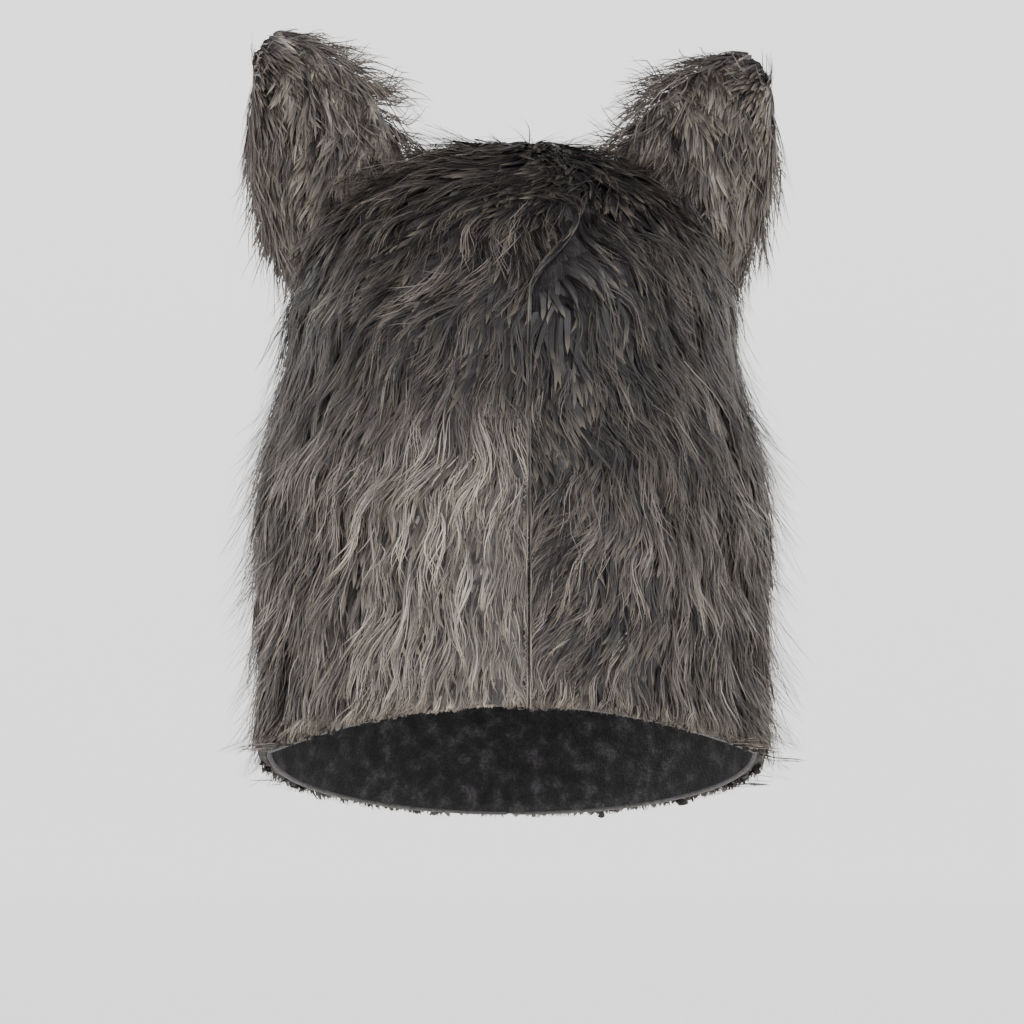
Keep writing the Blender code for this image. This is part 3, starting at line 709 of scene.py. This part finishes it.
def strand_map(tone, v, sides, width):
    """The tone, a little more or less by the way to the ribbon's sides, and the place along."""
    u = np.clip(tone, 0.02, 0.98)[:, None] + ACROSS * sides * width[:, None] / 2
    return np.stack((u, v), -1)


# %% Hair on the hood
def hood_fur(name, side, count, from_share, to_share, kind, seed):
    """Strands over part of one half: a lock's waved path plus each strand's place in the lock.

    Path = lock root + place in the lock, drawn in with s + comb direction times length
    times s + a sine wave and a bend across. Where it would pass the hem it is cut shorter.
    """
    per_lock, spread, gather, width, length, wave, lift, flick, shift, tone_spread, share_light = kind
    draw = np.random.default_rng(seed)
    lock_angle, lock_climb = scatter(side, count // per_lock, from_share, to_share, draw)
    locks = len(lock_angle)
    count = locks * per_lock
    lock_here = on_half(side, lock_angle, lock_climb, 0.0)
    which = np.repeat(np.arange(locks), per_lock)

    bare = hood_point(lock_angle, lock_climb, 0.0)
    step_a = (hood_point(lock_angle + 0.01, lock_climb, 0.0) - bare) / 0.01
    step_c = (hood_point(lock_angle, lock_climb + 0.01, 0.0) - bare) / 0.01
    size_a = np.maximum(np.linalg.norm(step_a, axis=-1), 0.030)
    size_c = np.linalg.norm(step_c, axis=-1)
    way = combed(lock_here, side)
    way_a = (way * step_a).sum(-1) / size_a
    way_c = (way * step_c).sum(-1) / size_c
    size = np.hypot(way_a, way_c) + 1e-9
    way_a, way_c = way_a / size, way_c / size

    low = fade(lock_here[:, 2], -0.03, -0.10)
    flat = flattened(lock_here)
    length = length * (0.80 + 0.25 * low) * draw.uniform(0.75, 1.25, locks) * (1 - 0.15 * flat)
    wave = wave * draw.uniform(0.55, 1.25, locks) * (1 - 0.5 * flat)
    turns = length / WAVE_RUN * draw.normal(1, 0.08, locks)
    phase = draw.normal(0, 0.35, locks) + 2.2 * lumps(lock_here, 0.050, 4) - 6.28 * lock_here[:, 2] / WAVE_RUN
    bend = draw.normal(0, 0.0030, locks)
    lift = lift * draw.uniform(0.5, 1.35, locks) * (1 - 0.55 * flat)
    shiny = draw.uniform(0, 1, locks) < share_light * (0.6 + 0.7 * fade(lock_here[:, 2], -0.07, -0.13))
    light = np.where(shiny, draw.uniform(0.15, 0.42, locks), draw.normal(0, tone_spread, locks)) * (1 - 0.5 * flat)

    s = np.linspace(0, 1, HOOD_STEPS)[None, :]
    size_a, size_c = size_a[which][:, None], size_c[which][:, None]
    own_a, own_c = draw.normal(0, spread, (2, count, 1))
    drawn = 1 - gather * draw.uniform(0.75, 1.15, (count, 1)) * s**1.2
    turn = phase[which][:, None] + 6.28 * turns[which][:, None] * s
    sway = wave[which][:, None] * (np.sin(turn) - np.sin(turn[:, :1]))
    sway = sway + (bend[which] + draw.normal(0, 0.0011, count))[:, None] * s**2
    loose = draw.normal(0, 0.0008, (count, 1)) * (1 + 2.5 * (draw.uniform(0, 1, (count, 1)) < 0.10))
    sway = sway + loose * np.sin(draw.uniform(3, 8, (count, 1)) * s + draw.uniform(0, 6, (count, 1))) * s
    a, c = way_a[which][:, None], way_c[which][:, None]
    full = (length[which] * draw.uniform(0.72, 1.10, count))[:, None]

    def run(long):
        """Angle and climb along the strands for a column of lengths."""
        share = long / full
        move_a = a * long * s - c * sway * share + own_a * drawn
        move_c = c * long * s + a * sway * share + own_c * drawn
        return lock_angle[which][:, None] + move_a / size_a, lock_climb[which][:, None] + move_c / size_c

    _, trial = run(full)
    end = -draw.uniform(0.0, 0.014, (count, 1))
    start = trial[:, :1]
    spare = np.where(trial[:, -1:] < end, (start - end) / np.maximum(start - trial[:, -1:], 1e-6), 1.0)
    path_angle, path_climb = run(full * np.clip(spare, 0.12, 1.0))
    path_climb = np.clip(path_climb, end, 1.995)
    depth = BACKING - hood_point(0.0, path_climb, 0.0)[..., 2]
    edge = edge_angle(path_climb)
    margin = 0.008 if side == LEFT else 0.004
    spill = margin - 0.6 * fade(depth, SLIT_TOP * 0.9, SLIT_TOP * 0.65)
    path_angle = np.maximum(path_angle, edge + spill) if side == LEFT else np.minimum(path_angle, edge - spill)

    wild = fade(np.abs(lock_here[:, 0]), 0.080, 0.102) + 0.9 * fade(lock_here[:, 2], -0.030, -0.010)
    stray = draw.uniform(0, 1, count) < 0.20 + 0.12 * wild[which]
    stray = stray * draw.uniform(0.2, 1.0, count) * flick * (1 + 0.9 * wild[which])
    rise = lift[which] * draw.uniform(0.75, 1.25, count)
    start_height = np.where(opening_mask(lock_here, 0.015), 0.0038, 0.0012)[which]
    height = start_height[:, None] + rise[:, None] * np.sin(s * 1.9) + (stray * (1 - 0.7 * flat[which]))[:, None] * s**2.2
    path = on_half(side, path_angle, path_climb, height)
    outward = on_half(side, path_angle, path_climb, height + 0.001) - path
    outward /= np.linalg.norm(outward, axis=-1, keepdims=True)
    width = width * draw.uniform(0.7, 1.25, count)
    points, triangles, v, sides = ribbons(path, outward, width, draw.normal(0, 0.35, count))
    tone = fur_tone_and_shadow(lock_here)[which] + shift + light[which] + draw.normal(0, 0.035, count)
    return new_piece(name, points, triangles, fur_material, strand_map(tone, v, sides, width))


PILE_BACK = 5200
PILE_FRONT = 3300
WISPS_BACK = 8000
WISPS_FRONT = 4400
BACK_SHARE = 0.56
for side, word in ((LEFT, "left"), (RIGHT, "right")):
    hood_fur(word + "_back_pile", side, PILE_BACK, 0.0, BACK_SHARE, PILE_HAIR, 11 + side)
    hood_fur(word + "_front_pile", side, PILE_FRONT, BACK_SHARE, 1.0, PILE_HAIR, 31 + side)
    hood_fur(word + "_back_wisps", side, WISPS_BACK, 0.0, BACK_SHARE, WISPS, 111 + side)
    hood_fur(word + "_front_wisps", side, WISPS_FRONT, BACK_SHARE, 1.0, WISPS, 131 + side)

# %% [markdown]
# ## Loose hair on any surface
# The ears carry the same hair as the hood, but their shape is another formula. So this
# helper works with points and normals alone: a strand leaves its root along an aim, drifts
# to its lock's centre line, rises off the surface and droops at its tip.

# %% Hair from roots, normals and aims
def loose_fur(name, roots, normals, aims, lengths, tones, per_lock, rise, width, curl, tone_spread, seed):
    """Path = root + part of the way to the lock + aim s + a sideways wave + normal (s - s squared / 2)."""
    draw = np.random.default_rng(seed)
    count = len(roots)
    centres = np.arange(0, count, per_lock)
    which = nearest(roots, roots[centres])
    lock = centres[which]
    s = np.linspace(0, 1, EAR_STEPS)[None, :, None]
    aim = aims[lock] + draw.normal(0, 0.14, (count, 3))
    aim -= normals * (aim * normals).sum(-1, keepdims=True)
    aim /= np.linalg.norm(aim, axis=-1, keepdims=True)
    side = np.cross(aim, normals)
    long = (lengths * draw.uniform(0.70, 1.15, count))[:, None, None]
    toward = np.clip(roots[lock] - roots, -0.006, 0.006)[:, None, :] * draw.uniform(0.4, 0.9, (count, 1, 1))
    wave = curl * long * draw.uniform(0.3, 1.0, len(centres))[which][:, None, None]
    turns = draw.uniform(0.5, 1.1, len(centres))[which][:, None, None]
    phase = draw.uniform(0, 6.28, len(centres))[which][:, None, None]
    bend = curl * (draw.normal(0, 1.6, len(centres))[which] + draw.normal(0, 0.5, count))[:, None, None] * long
    sway = wave * np.sin(6.28 * turns * s + phase) * s**0.6 + bend * s**2
    lift = (rise[lock] * draw.uniform(0.6, 1.3, count))[:, None, None]
    path = roots[:, None] + toward * s**1.3 + aim[:, None] * long * s + side[:, None] * sway
    path = path + normals[:, None] * lift * (s - 0.5 * s**2) + np.array((0.0, 0.0, -1.0)) * 0.16 * long * s**2
    outward = np.broadcast_to(normals[:, None], path.shape)
    width = width * draw.uniform(0.6, 1.25, count)
    points, triangles, v, sides = ribbons(path, outward, width, draw.normal(0, 0.6, count))
    tone = tones + draw.normal(0, tone_spread, len(centres))[which] + draw.normal(0, 0.035, count)
    return new_piece(name, points, triangles, fur_material, strand_map(tone, v, sides, width))


# %% [markdown]
# ## The ears
# Each ear is a cupped pointed flap, wide at its foot and blunt at its tip, with hair on its
# back and edges and short plush in front. Its body is a flat tube: rings of an ellipse in
# the ear's own measures, drawn in to a point at both ends. The strands hang down over the
# outer edge and flick inwards and up along the inner one.

# %% The ear's formula
EAR_FOOT_OUTER = (0.096, -0.052)
EAR_FOOT_INNER = (0.050, -0.001)
EAR_TIP = (0.112, 0.052)
EAR_DROOP = 0.010
EAR_BOW = 0.010
EAR_CUP = 0.022
EAR_THICKNESS = 0.008
EAR_TIP_WIDTH = 0.013
EAR_LEAN = 0.010
EAR_PLACE_Y = 0.004
EAR_START = -0.12
FOOT_RUN = np.subtract(EAR_FOOT_INNER, EAR_FOOT_OUTER)


def ear_point(side, across, along, layer):
    """The foot's line moved to the tip as along grows, swollen by a sine, cupped by a square."""
    across, along, layer = np.broadcast_arrays(across, along, layer)
    foot_x = EAR_FOOT_OUTER[0] + FOOT_RUN[0] * (across + 1) / 2
    foot_z = EAR_FOOT_OUTER[1] + FOOT_RUN[1] * (across + 1) / 2
    spread = across * (EAR_TIP_WIDTH / 2 * along + EAR_BOW * np.sin(math.pi * np.clip(along, 0, 1)))
    unit = FOOT_RUN / np.linalg.norm(FOOT_RUN)
    x = foot_x + (EAR_TIP[0] - foot_x) * along + spread * unit[0]
    tip_z = EAR_TIP[1] - EAR_DROOP * (side == RIGHT)
    z = foot_z + (tip_z - foot_z) * along + spread * unit[1]
    thickness = EAR_THICKNESS * (1 - 0.5 * np.clip(along, 0, 1)) * (1 - 0.35 * across**2)
    cup = EAR_CUP * across**2 * (1 - 0.6 * np.clip(along, 0, 1))
    y = EAR_PLACE_Y - cup - EAR_LEAN * along + layer * thickness / 2
    return np.stack((side * x, y, z), axis=-1)


def ear_ring(side, turn, place):
    """Ear points with across = cosine and layer = sine of a turn, both drawn in at the ends."""
    near_tip = np.clip((place - 0.90) / 0.10, 0, 1)
    near_foot = np.clip((0.04 - place) / 0.04, 0, 1)
    size = np.sqrt(np.clip(1 - near_tip**2 - near_foot**2, 0, 1))
    along = EAR_START + (1.0 - EAR_START) * place
    return ear_point(side, np.cos(turn) * size, along, np.sin(turn) * size)


def scalp(side, across, along, layer):
    """Points and outward normals on an ear's back (layer 1) or front (layer -1)."""
    here = ear_point(side, across, along, layer)
    step_a = ear_point(side, across + 0.01, along, layer) - here
    step_l = ear_point(side, across, along + 0.01, layer) - here
    normal = np.cross(step_a, step_l)
    normal /= np.linalg.norm(normal, axis=-1, keepdims=True)
    return here, normal * np.sign(normal[..., 1:2]) * layer


# %% Make both ears
EAR_PILE = 3200
EAR_WISPS = 1300
EAR_PLUSH = 1800
for side, word in ((LEFT, "left"), (RIGHT, "right")):
    place, turn = np.meshgrid(np.linspace(0, 1, 60), np.linspace(0, 2 * math.pi, 72, endpoint=False), indexing="ij")
    rings = ear_ring(side, turn if side == RIGHT else -turn, place)
    shell = rings.reshape(-1, 3)
    shell_triangles = grid_triangles(60, 72, closed=True)
    _, first, which = np.unique(np.round(shell, 7), axis=0, return_index=True, return_inverse=True)
    shell_triangles = which.reshape(-1)[shell_triangles]
    whole = (np.diff(np.sort(shell_triangles, axis=1), axis=1) > 0).all(axis=1)
    new_piece(word + "_ear_body", shell[first], shell_triangles[whole], undercoat_material, node=word + "_ear")

    draw = np.random.default_rng(61 + side)
    across = np.sin(draw.uniform(-1.0, 1.0, EAR_PILE) * 1.45) * 1.01
    along = draw.uniform(-0.04, 0.99, EAR_PILE)
    roots, normals = scalp(side, across, along, 1)
    inner = fade(across, 0.15, 0.95)
    outer = fade(across, -0.35, -1.0)
    tip = fade(along, 0.72, 1.0)
    swirl = 0.7 * lumps(roots, 0.022, 17)
    aims = np.stack((side * (0.06 * outer + 0.3 * inner - 1.2 * tip) + swirl, -0.4 * inner, -1.0 + 0.8 * tip), -1)
    lengths = (0.021 - 0.009 * tip - 0.009 * inner) * (1 - 0.35 * fade(along, 0.10, -0.04))
    tones = 0.25 + 0.10 * outer + 0.12 * inner + 0.10 * tip + 0.10 * (side == LEFT) + 0.22 * lumps(roots, 0.013, 15)
    low = 0.0022 + 0.0 * across
    loose_fur(word + "_ear_pile", roots, normals, aims, lengths, tones, 6, low, 0.0021, 0.05, 0.035, 71 + side)

    groups = EAR_WISPS // 6
    middle = groups // 4
    across = np.concatenate((draw.uniform(-0.8, 0.8, middle), draw.choice((-1.0, 1.0), groups - middle)))
    along = np.repeat(draw.uniform(0.0, 0.98, groups)**0.8, 6) + draw.normal(0, 0.012, groups * 6)
    across = np.repeat(across, 6) + draw.normal(0, 0.03, groups * 6)
    roots, normals = scalp(side, across, np.minimum(along, 0.99), 1)
    inner = fade(across, 0.50, 0.95)
    outer = fade(across, -0.50, -0.95)
    crest = fade(along, 0.84, 0.95)
    upward = np.repeat(draw.uniform(0.1, 1.0, groups), 6) * inner * (1 - crest)
    aims = np.stack((side * (0.18 * outer - 1.0 * upward - 1.3 * crest), -0.5 * inner, -1.0 + 1.2 * (upward + crest)), -1)
    lengths = (0.019 + 0.006 * outer + 0.007 * inner) * np.repeat(draw.uniform(0.5, 1.5, groups), 6) * (1 - 0.3 * crest)
    lengths = lengths * (1 - 0.35 * fade(along, 0.10, -0.04))
    tones = 0.44 + 0.02 * outer + 0.06 * inner
    rise = 0.0040 + 0.0030 * (outer + inner)
    loose_fur(word + "_ear_wisps", roots, normals, aims, lengths, tones, 6, rise, 0.0006, 0.16, 0.09, 75 + side)

    across = np.sin(draw.uniform(-1.0, 1.0, EAR_PLUSH) * 1.4)
    along = draw.uniform(-0.02, 0.97, EAR_PLUSH)
    roots, normals = scalp(side, across, along, -1)
    aims = np.stack((side * 0.3 * across, 0.0 * across, np.full(EAR_PLUSH, -1.0)), -1)
    short = np.full(EAR_PLUSH, 0.008)
    dark = 0.18 + 0.05 * lumps(roots, 0.015, 16)
    loose_fur(word + "_ear_plush", roots, normals, aims, short, dark, 8, 0.3 * short, 0.0015, 0.05, 0.05, 81 + side)

# %% [markdown]
# ## The moulded face
# The face is a thin dark shell set into the oval opening from inside. Polar rings round the
# muzzle's tip give it: a smooth surface parallel to the hood's front, with the muzzle and
# the brow added as heights. Wrinkles over the muzzle and a line for the mouth are lower
# relief on top. The eyes are holes to look through, cut with an exact Boolean.

# %% The face's formula
FACE_LAP = 0.012
FACE_WALL = 0.0026
FACE_CLEARANCE = 0.0019
MUZZLE_REACH = 0.082
MUZZLE_HALF_WIDTH = 0.031
MUZZLE_DEPTH = 0.160
FACE_FLAT_RIM = 0.88
BROW_REACH = 0.013
EYE_HALF_WIDTH = 0.0135
EYE_HALF_HEIGHT = 0.0080
EYE_PLACE_X = 0.036
EYE_DEPTH = 0.105
EYE_TILT = 0.30
NOSE_THICKNESS = 0.010
NOSE_SHARE = 2 / 11
MUZZLE_COLUMNS = ("drop", "reach", "width")
MUZZLE_PROFILE = (
    (-1.10, 0.00, 0.70),
    (-0.72, 0.09, 0.80),
    (-0.46, 0.34, 0.78),
    (-0.22, 0.84, 0.86),
    (0.00, 1.00, 1.00),
    (0.20, 0.95, 1.06),
    (0.34, 0.74, 1.02),
    (0.52, 0.40, 0.96),
    (0.80, 0.00, 0.80),
)


def front_y(x, z, lift):
    """The hood's front as a height over X and Z, from the same sections."""
    depth = BACKING - z
    half_width, _, front, pinch = section(depth, lift)
    rise = np.clip((DOME_DEPTH - depth) / (DOME_DEPTH + lift), 0, 0.98)
    shrink = np.sqrt(1 - rise**2)
    facing = np.sqrt(1 - np.clip(x / (half_width * shrink), -0.98, 0.98) ** 2)
    return -front * shrink * facing * (1 - pinch + pinch * facing)


def face_relief(x, z, reach_share):
    """Millimetres of wrinkle and mouth line: sines that fade away, and a groove as a bell curve."""
    bridge = np.exp(-((x / 0.024) ** 2)) * fade(z, -0.155, -0.140) * fade(z, -0.092, -0.104)
    wrinkle = 0.0010 * bridge * np.sin(z * 1150 + 9 * np.abs(x) / 0.03)
    cheeks = np.exp(-(((np.abs(x) - 0.045) / 0.016) ** 2)) * fade(z, -0.190, -0.170) * fade(z, -0.112, -0.126)
    fold = 0.0009 * cheeks * np.sin((z + 0.9 * np.abs(x)) * 620)
    mouth_z = -MUZZLE_DEPTH - 0.022 + 0.004 * np.cos(x / MUZZLE_HALF_WIDTH * 2.4)
    mouth = -0.0042 * np.exp(-(((z - mouth_z) / 0.0021) ** 2)) * reach_share
    philtrum = -0.0016 * np.exp(-((x / 0.0012) ** 2)) * fade(z, -MUZZLE_DEPTH - 0.020, -MUZZLE_DEPTH - 0.016) * reach_share
    lids_x = (np.abs(x) - EYE_PLACE_X) / (EYE_HALF_WIDTH * 1.25)
    lids_z = (z + EYE_DEPTH) / (EYE_HALF_HEIGHT * 1.45)
    lid = 0.0022 * np.exp(-(((np.hypot(lids_x, lids_z) - 1.0) / 0.22) ** 2))
    return wrinkle + fold + mouth + philtrum + lid


def face_point(ring, turn, inset, relief=1.0):
    """Points of the face: ring is 0 at the muzzle's tip and 1 at the hidden rim."""
    ring, turn, inset = np.broadcast_arrays(ring, turn, inset)
    middle = MUZZLE_DEPTH + (OPENING_DEPTH - MUZZLE_DEPTH) * ring
    x = (OPENING_HALF_WIDTH + FACE_LAP) * ring * np.cos(turn)
    z = (OPENING_HALF_HEIGHT + FACE_LAP) * ring * np.sin(turn) - middle
    drop = (-z - MUZZLE_DEPTH) / OPENING_HALF_HEIGHT
    reach = (MUZZLE_REACH - inset) * read_table(MUZZLE_PROFILE, MUZZLE_COLUMNS, "reach", drop)
    width = (MUZZLE_HALF_WIDTH - inset) * read_table(MUZZLE_PROFILE, MUZZLE_COLUMNS, "width", drop)
    muzzle = reach / (1 + (np.abs(x) / width) ** 5)
    brow_height = (-z - EYE_DEPTH + 2.2 * EYE_HALF_HEIGHT) / (1.6 * EYE_HALF_HEIGHT)
    brow = BROW_REACH * np.exp(-(brow_height**2)) * np.exp(-((x / OPENING_HALF_WIDTH) ** 4) * 3)
    from_middle = np.hypot(x / OPENING_HALF_WIDTH, (z + OPENING_DEPTH) / OPENING_HALF_HEIGHT)
    inside = fade(from_middle, FACE_FLAT_RIM, FACE_FLAT_RIM * 0.72)
    detail = relief * face_relief(x, z, np.clip(muzzle / MUZZLE_REACH, 0, 1))
    y = front_y(x, z, -BACKING - FACE_CLEARANCE - inset) - (muzzle + brow + detail) * inside
    return np.stack((x, y, z), axis=-1)


def skin_finish():
    """Dark moulded rubber: mottled brown and grey, with fine pores and a soft gloss."""
    material, tree, shader = start_material("moulded_face", 0.55)
    patches = shared_mask(tree, SOFT_MOTTLE, 70.0)
    pores = shared_mask(tree, FINE_GRAIN, 520.0)
    ground = ramp(tree, patches, ((0.0, (0.026, 0.022, 0.020)), (0.5, (0.060, 0.051, 0.046)), (1.0, (0.110, 0.094, 0.084))))
    tree.links.new(blend(tree, "MULTIPLY", 0.7, ground, ramp(tree, pores, ((0.2, 0.6), (0.8, 1.15)))), shader.inputs["Base Color"])
    tree.links.new(ramp(tree, pores, ((0.0, 0.42), (1.0, 0.66))), shader.inputs["Roughness"])
    raise_surface(tree, shader, pores, 0.0004)
    return material


def nose_finish():
    """The nose: black rubber with coarse pebbles, a little glossier than the face."""
    material, tree, shader = start_material("nose_rubber", 0.36)
    pebbles = shared_mask(tree, FINE_GRAIN, 320.0)
    tree.links.new(ramp(tree, pebbles, ((0.0, (0.008, 0.0075, 0.0075)), (1.0, (0.026, 0.024, 0.023)))), shader.inputs["Base Color"])
    tree.links.new(ramp(tree, pebbles, ((0.0, 0.30), (1.0, 0.50))), shader.inputs["Roughness"])
    raise_surface(tree, shader, pebbles, 0.0007)
    return material


# %% Make the face
FACE_RINGS = 84
FACE_TURNS = 168
turns = np.linspace(0, 2 * math.pi, FACE_TURNS, endpoint=False)
ring, turn = np.meshgrid(np.linspace(0, 1, FACE_RINGS), turns, indexing="ij")
turn = turn[:, ::-1]
skin = skin_finish()
face = wall_piece("moulded_face", face_point(ring, turn, 0.0), face_point(ring, turn, FACE_WALL, 0.0), skin, "face", closed=True)
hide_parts("muzzle")
for side in (LEFT, RIGHT):
    eye = oval(EYE_HALF_WIDTH, EYE_HALF_HEIGHT, EYE_PLACE_X, -EYE_DEPTH, EYE_TILT, 48)
    if side == RIGHT:
        eye = eye[::-1] * np.array((-1.0, 1.0))
    cut_with(face, eye, (-0.22, -0.03))

# %% Make the nose
NOSE_RINGS = 24
ring, turn = np.meshgrid(np.linspace(0, NOSE_SHARE, NOSE_RINGS), turns[::2], indexing="ij")
turn = turn[:, ::-1]
seat = face_point(ring, turn, 0.0, 0.0)
seat[..., 1] -= 0.0003
share = ring / NOSE_SHARE
pad = seat.copy()
pad[..., 1] -= NOSE_THICKNESS * (1 - share**2) ** 0.4 * (1 - 0.2 * share) + 0.0004
nostril = np.hypot((np.abs(pad[..., 0]) - 0.0068) / 0.0034, (pad[..., 2] + MUZZLE_DEPTH + 0.0015) / 0.0024)
pad[..., 1] += 0.0052 * np.exp(-(nostril**2))
pad[..., 1] += 0.0016 * np.exp(-((pad[..., 0] / 0.0011) ** 2)) * (pad[..., 2] < -MUZZLE_DEPTH)
wall_piece("nose_pad", pad, seat, nose_finish(), "nose", closed=True)

# %% [markdown]
# ## Closing strip and stitches
# The opening down the back closes with a strip hidden under the lap. Along the lap's free
# edge runs a row of small slanted stitches, which show where the hair beside it lies flat.

# %% Strip and stitches
def strip_finish():
    """Hook tape: black, with a fine raised grain."""
    material, tree, shader = start_material("hook_tape", 0.85, sheen=0.1)
    hooks = shared_mask(tree, FINE_GRAIN, 1400.0)
    tree.links.new(ramp(tree, hooks, ((0.0, (0.010, 0.010, 0.011)), (1.0, (0.045, 0.045, 0.048)))), shader.inputs["Base Color"])
    raise_surface(tree, shader, hooks, 0.0008)
    return material


def thread_finish():
    """Grey thread with a slight twist to its colour."""
    material, tree, shader = start_material("thread", 0.75, sheen=0.2)
    twist = shared_mask(tree, FINE_GRAIN, 1100.0)
    tree.links.new(ramp(tree, twist, ((0.0, (0.11, 0.10, 0.10)), (1.0, (0.34, 0.32, 0.31)))), shader.inputs["Base Color"])
    return material


strip = strip_finish()
for slot in bpy.data.objects["closure_tape"].material_slots:
    slot.material = strip
STITCHES = 64
STITCH_TOP = -0.140
STITCH_BOTTOM = -0.240
stitch_z = np.linspace(STITCH_TOP, STITCH_BOTTOM, STITCHES)
stitch_climb = (HOOD_HEIGHT - (BACKING - stitch_z)) / (HOOD_HEIGHT - DOME_DEPTH)
zigzag = np.where(np.arange(STITCHES) % 2, 0.021, 0.004)
stitch_path = on_half(LEFT, edge_angle(stitch_climb) + zigzag, stitch_climb, 0.0042)
LAP_EDGE_RADIUS = 0.0009
edge_climb = np.linspace(0.002, 1.66, 150)
lap_edge = tube(on_half(LEFT, edge_angle(edge_climb), edge_climb, 0.0022), LAP_EDGE_RADIUS)
new_piece("lap_edge", lap_edge.reshape(-1, 3), tube_triangles(150, 8), hem_material)
new_piece("lap_stitches", tube(stitch_path, 0.00022, 6).reshape(-1, 3), tube_triangles(STITCHES, 6), thread_finish())

# %% [markdown]
# ## Floor, light and world
# The mask hangs where a head would hold it, over a plain pale floor that curves up into a
# backdrop, so that no edge shows behind it. Large soft lamps keep the shadows gentle, and
# two from the far side give the edges of the fur the glow that they have in the photograph.

# %% Build the studio
FLOOR_HEIGHT = -0.62
STUDIO_RADIUS = 8.0
CURVE = 2.5
WALL_TOP = 3.5


def make_studio():
    """A profile turned about Z: a flat floor, a quarter circle, and a wall, all round."""
    bend = np.linspace(0, math.pi / 2, 16)
    radius = np.concatenate(([0.5], STUDIO_RADIUS - CURVE + CURVE * np.sin(bend), [STUDIO_RADIUS]))
    height = np.concatenate(([FLOOR_HEIGHT], FLOOR_HEIGHT + CURVE - CURVE * np.cos(bend), [WALL_TOP]))
    turn = np.linspace(0, 2 * math.pi, 96, endpoint=False)
    x, y = radius[:, None] * np.cos(turn), radius[:, None] * np.sin(turn)
    points = np.stack(np.broadcast_arrays(x, y, height[:, None]), -1).reshape(-1, 3)
    quads = grid_triangles(len(radius), 96, closed=True)[:, ::-1].tolist()
    mesh = bpy.data.meshes.new("studio_floor")
    mesh.from_pydata(points.tolist(), [], [*quads, list(range(96))])
    mesh.shade_smooth()
    floor = bpy.data.objects.new("studio_floor", mesh)
    bpy.context.scene.collection.objects.link(floor)
    material, tree, shader = start_material("pale_floor", 0.9)
    shader.inputs["Base Color"].default_value = (0.93, 0.93, 0.93, 1.0)
    shader.inputs["Emission Color"].default_value = (1.0, 1.0, 1.0, 1.0)
    shader.inputs["Emission Strength"].default_value = 0.96
    mesh.materials.append(material)


def soft_lamp(name, place, target, size, power):
    """A square area lamp turned to a target."""
    data = bpy.data.lights.new(name, "AREA")
    data.size = size
    data.energy = power
    lamp = bpy.data.objects.new(name, data)
    bpy.context.scene.collection.objects.link(lamp)
    lamp.location = place
    lamp.rotation_euler = (Vector(target) - Vector(place)).to_track_quat("-Z", "Y").to_euler()


make_studio()
CENTRE = (0.0, 0.0, -0.13)
soft_lamp("key_lamp", (-1.3, 2.1, 1.5), CENTRE, 1.1, 52.0)
soft_lamp("fill_lamp", (1.8, 1.9, 0.3), CENTRE, 1.6, 14.0)
soft_lamp("left_edge_lamp", (1.5, -1.2, 0.7), CENTRE, 1.0, 7.0)
soft_lamp("right_edge_lamp", (-1.5, -1.2, 0.7), CENTRE, 1.0, 7.0)
world = bpy.data.worlds.new("studio_world")
world.use_nodes = True
world.node_tree.nodes["Background"].inputs["Color"].default_value = (1.0, 1.0, 1.0, 1.0)
world.node_tree.nodes["Background"].inputs["Strength"].default_value = 0.25
bpy.context.scene.world = world
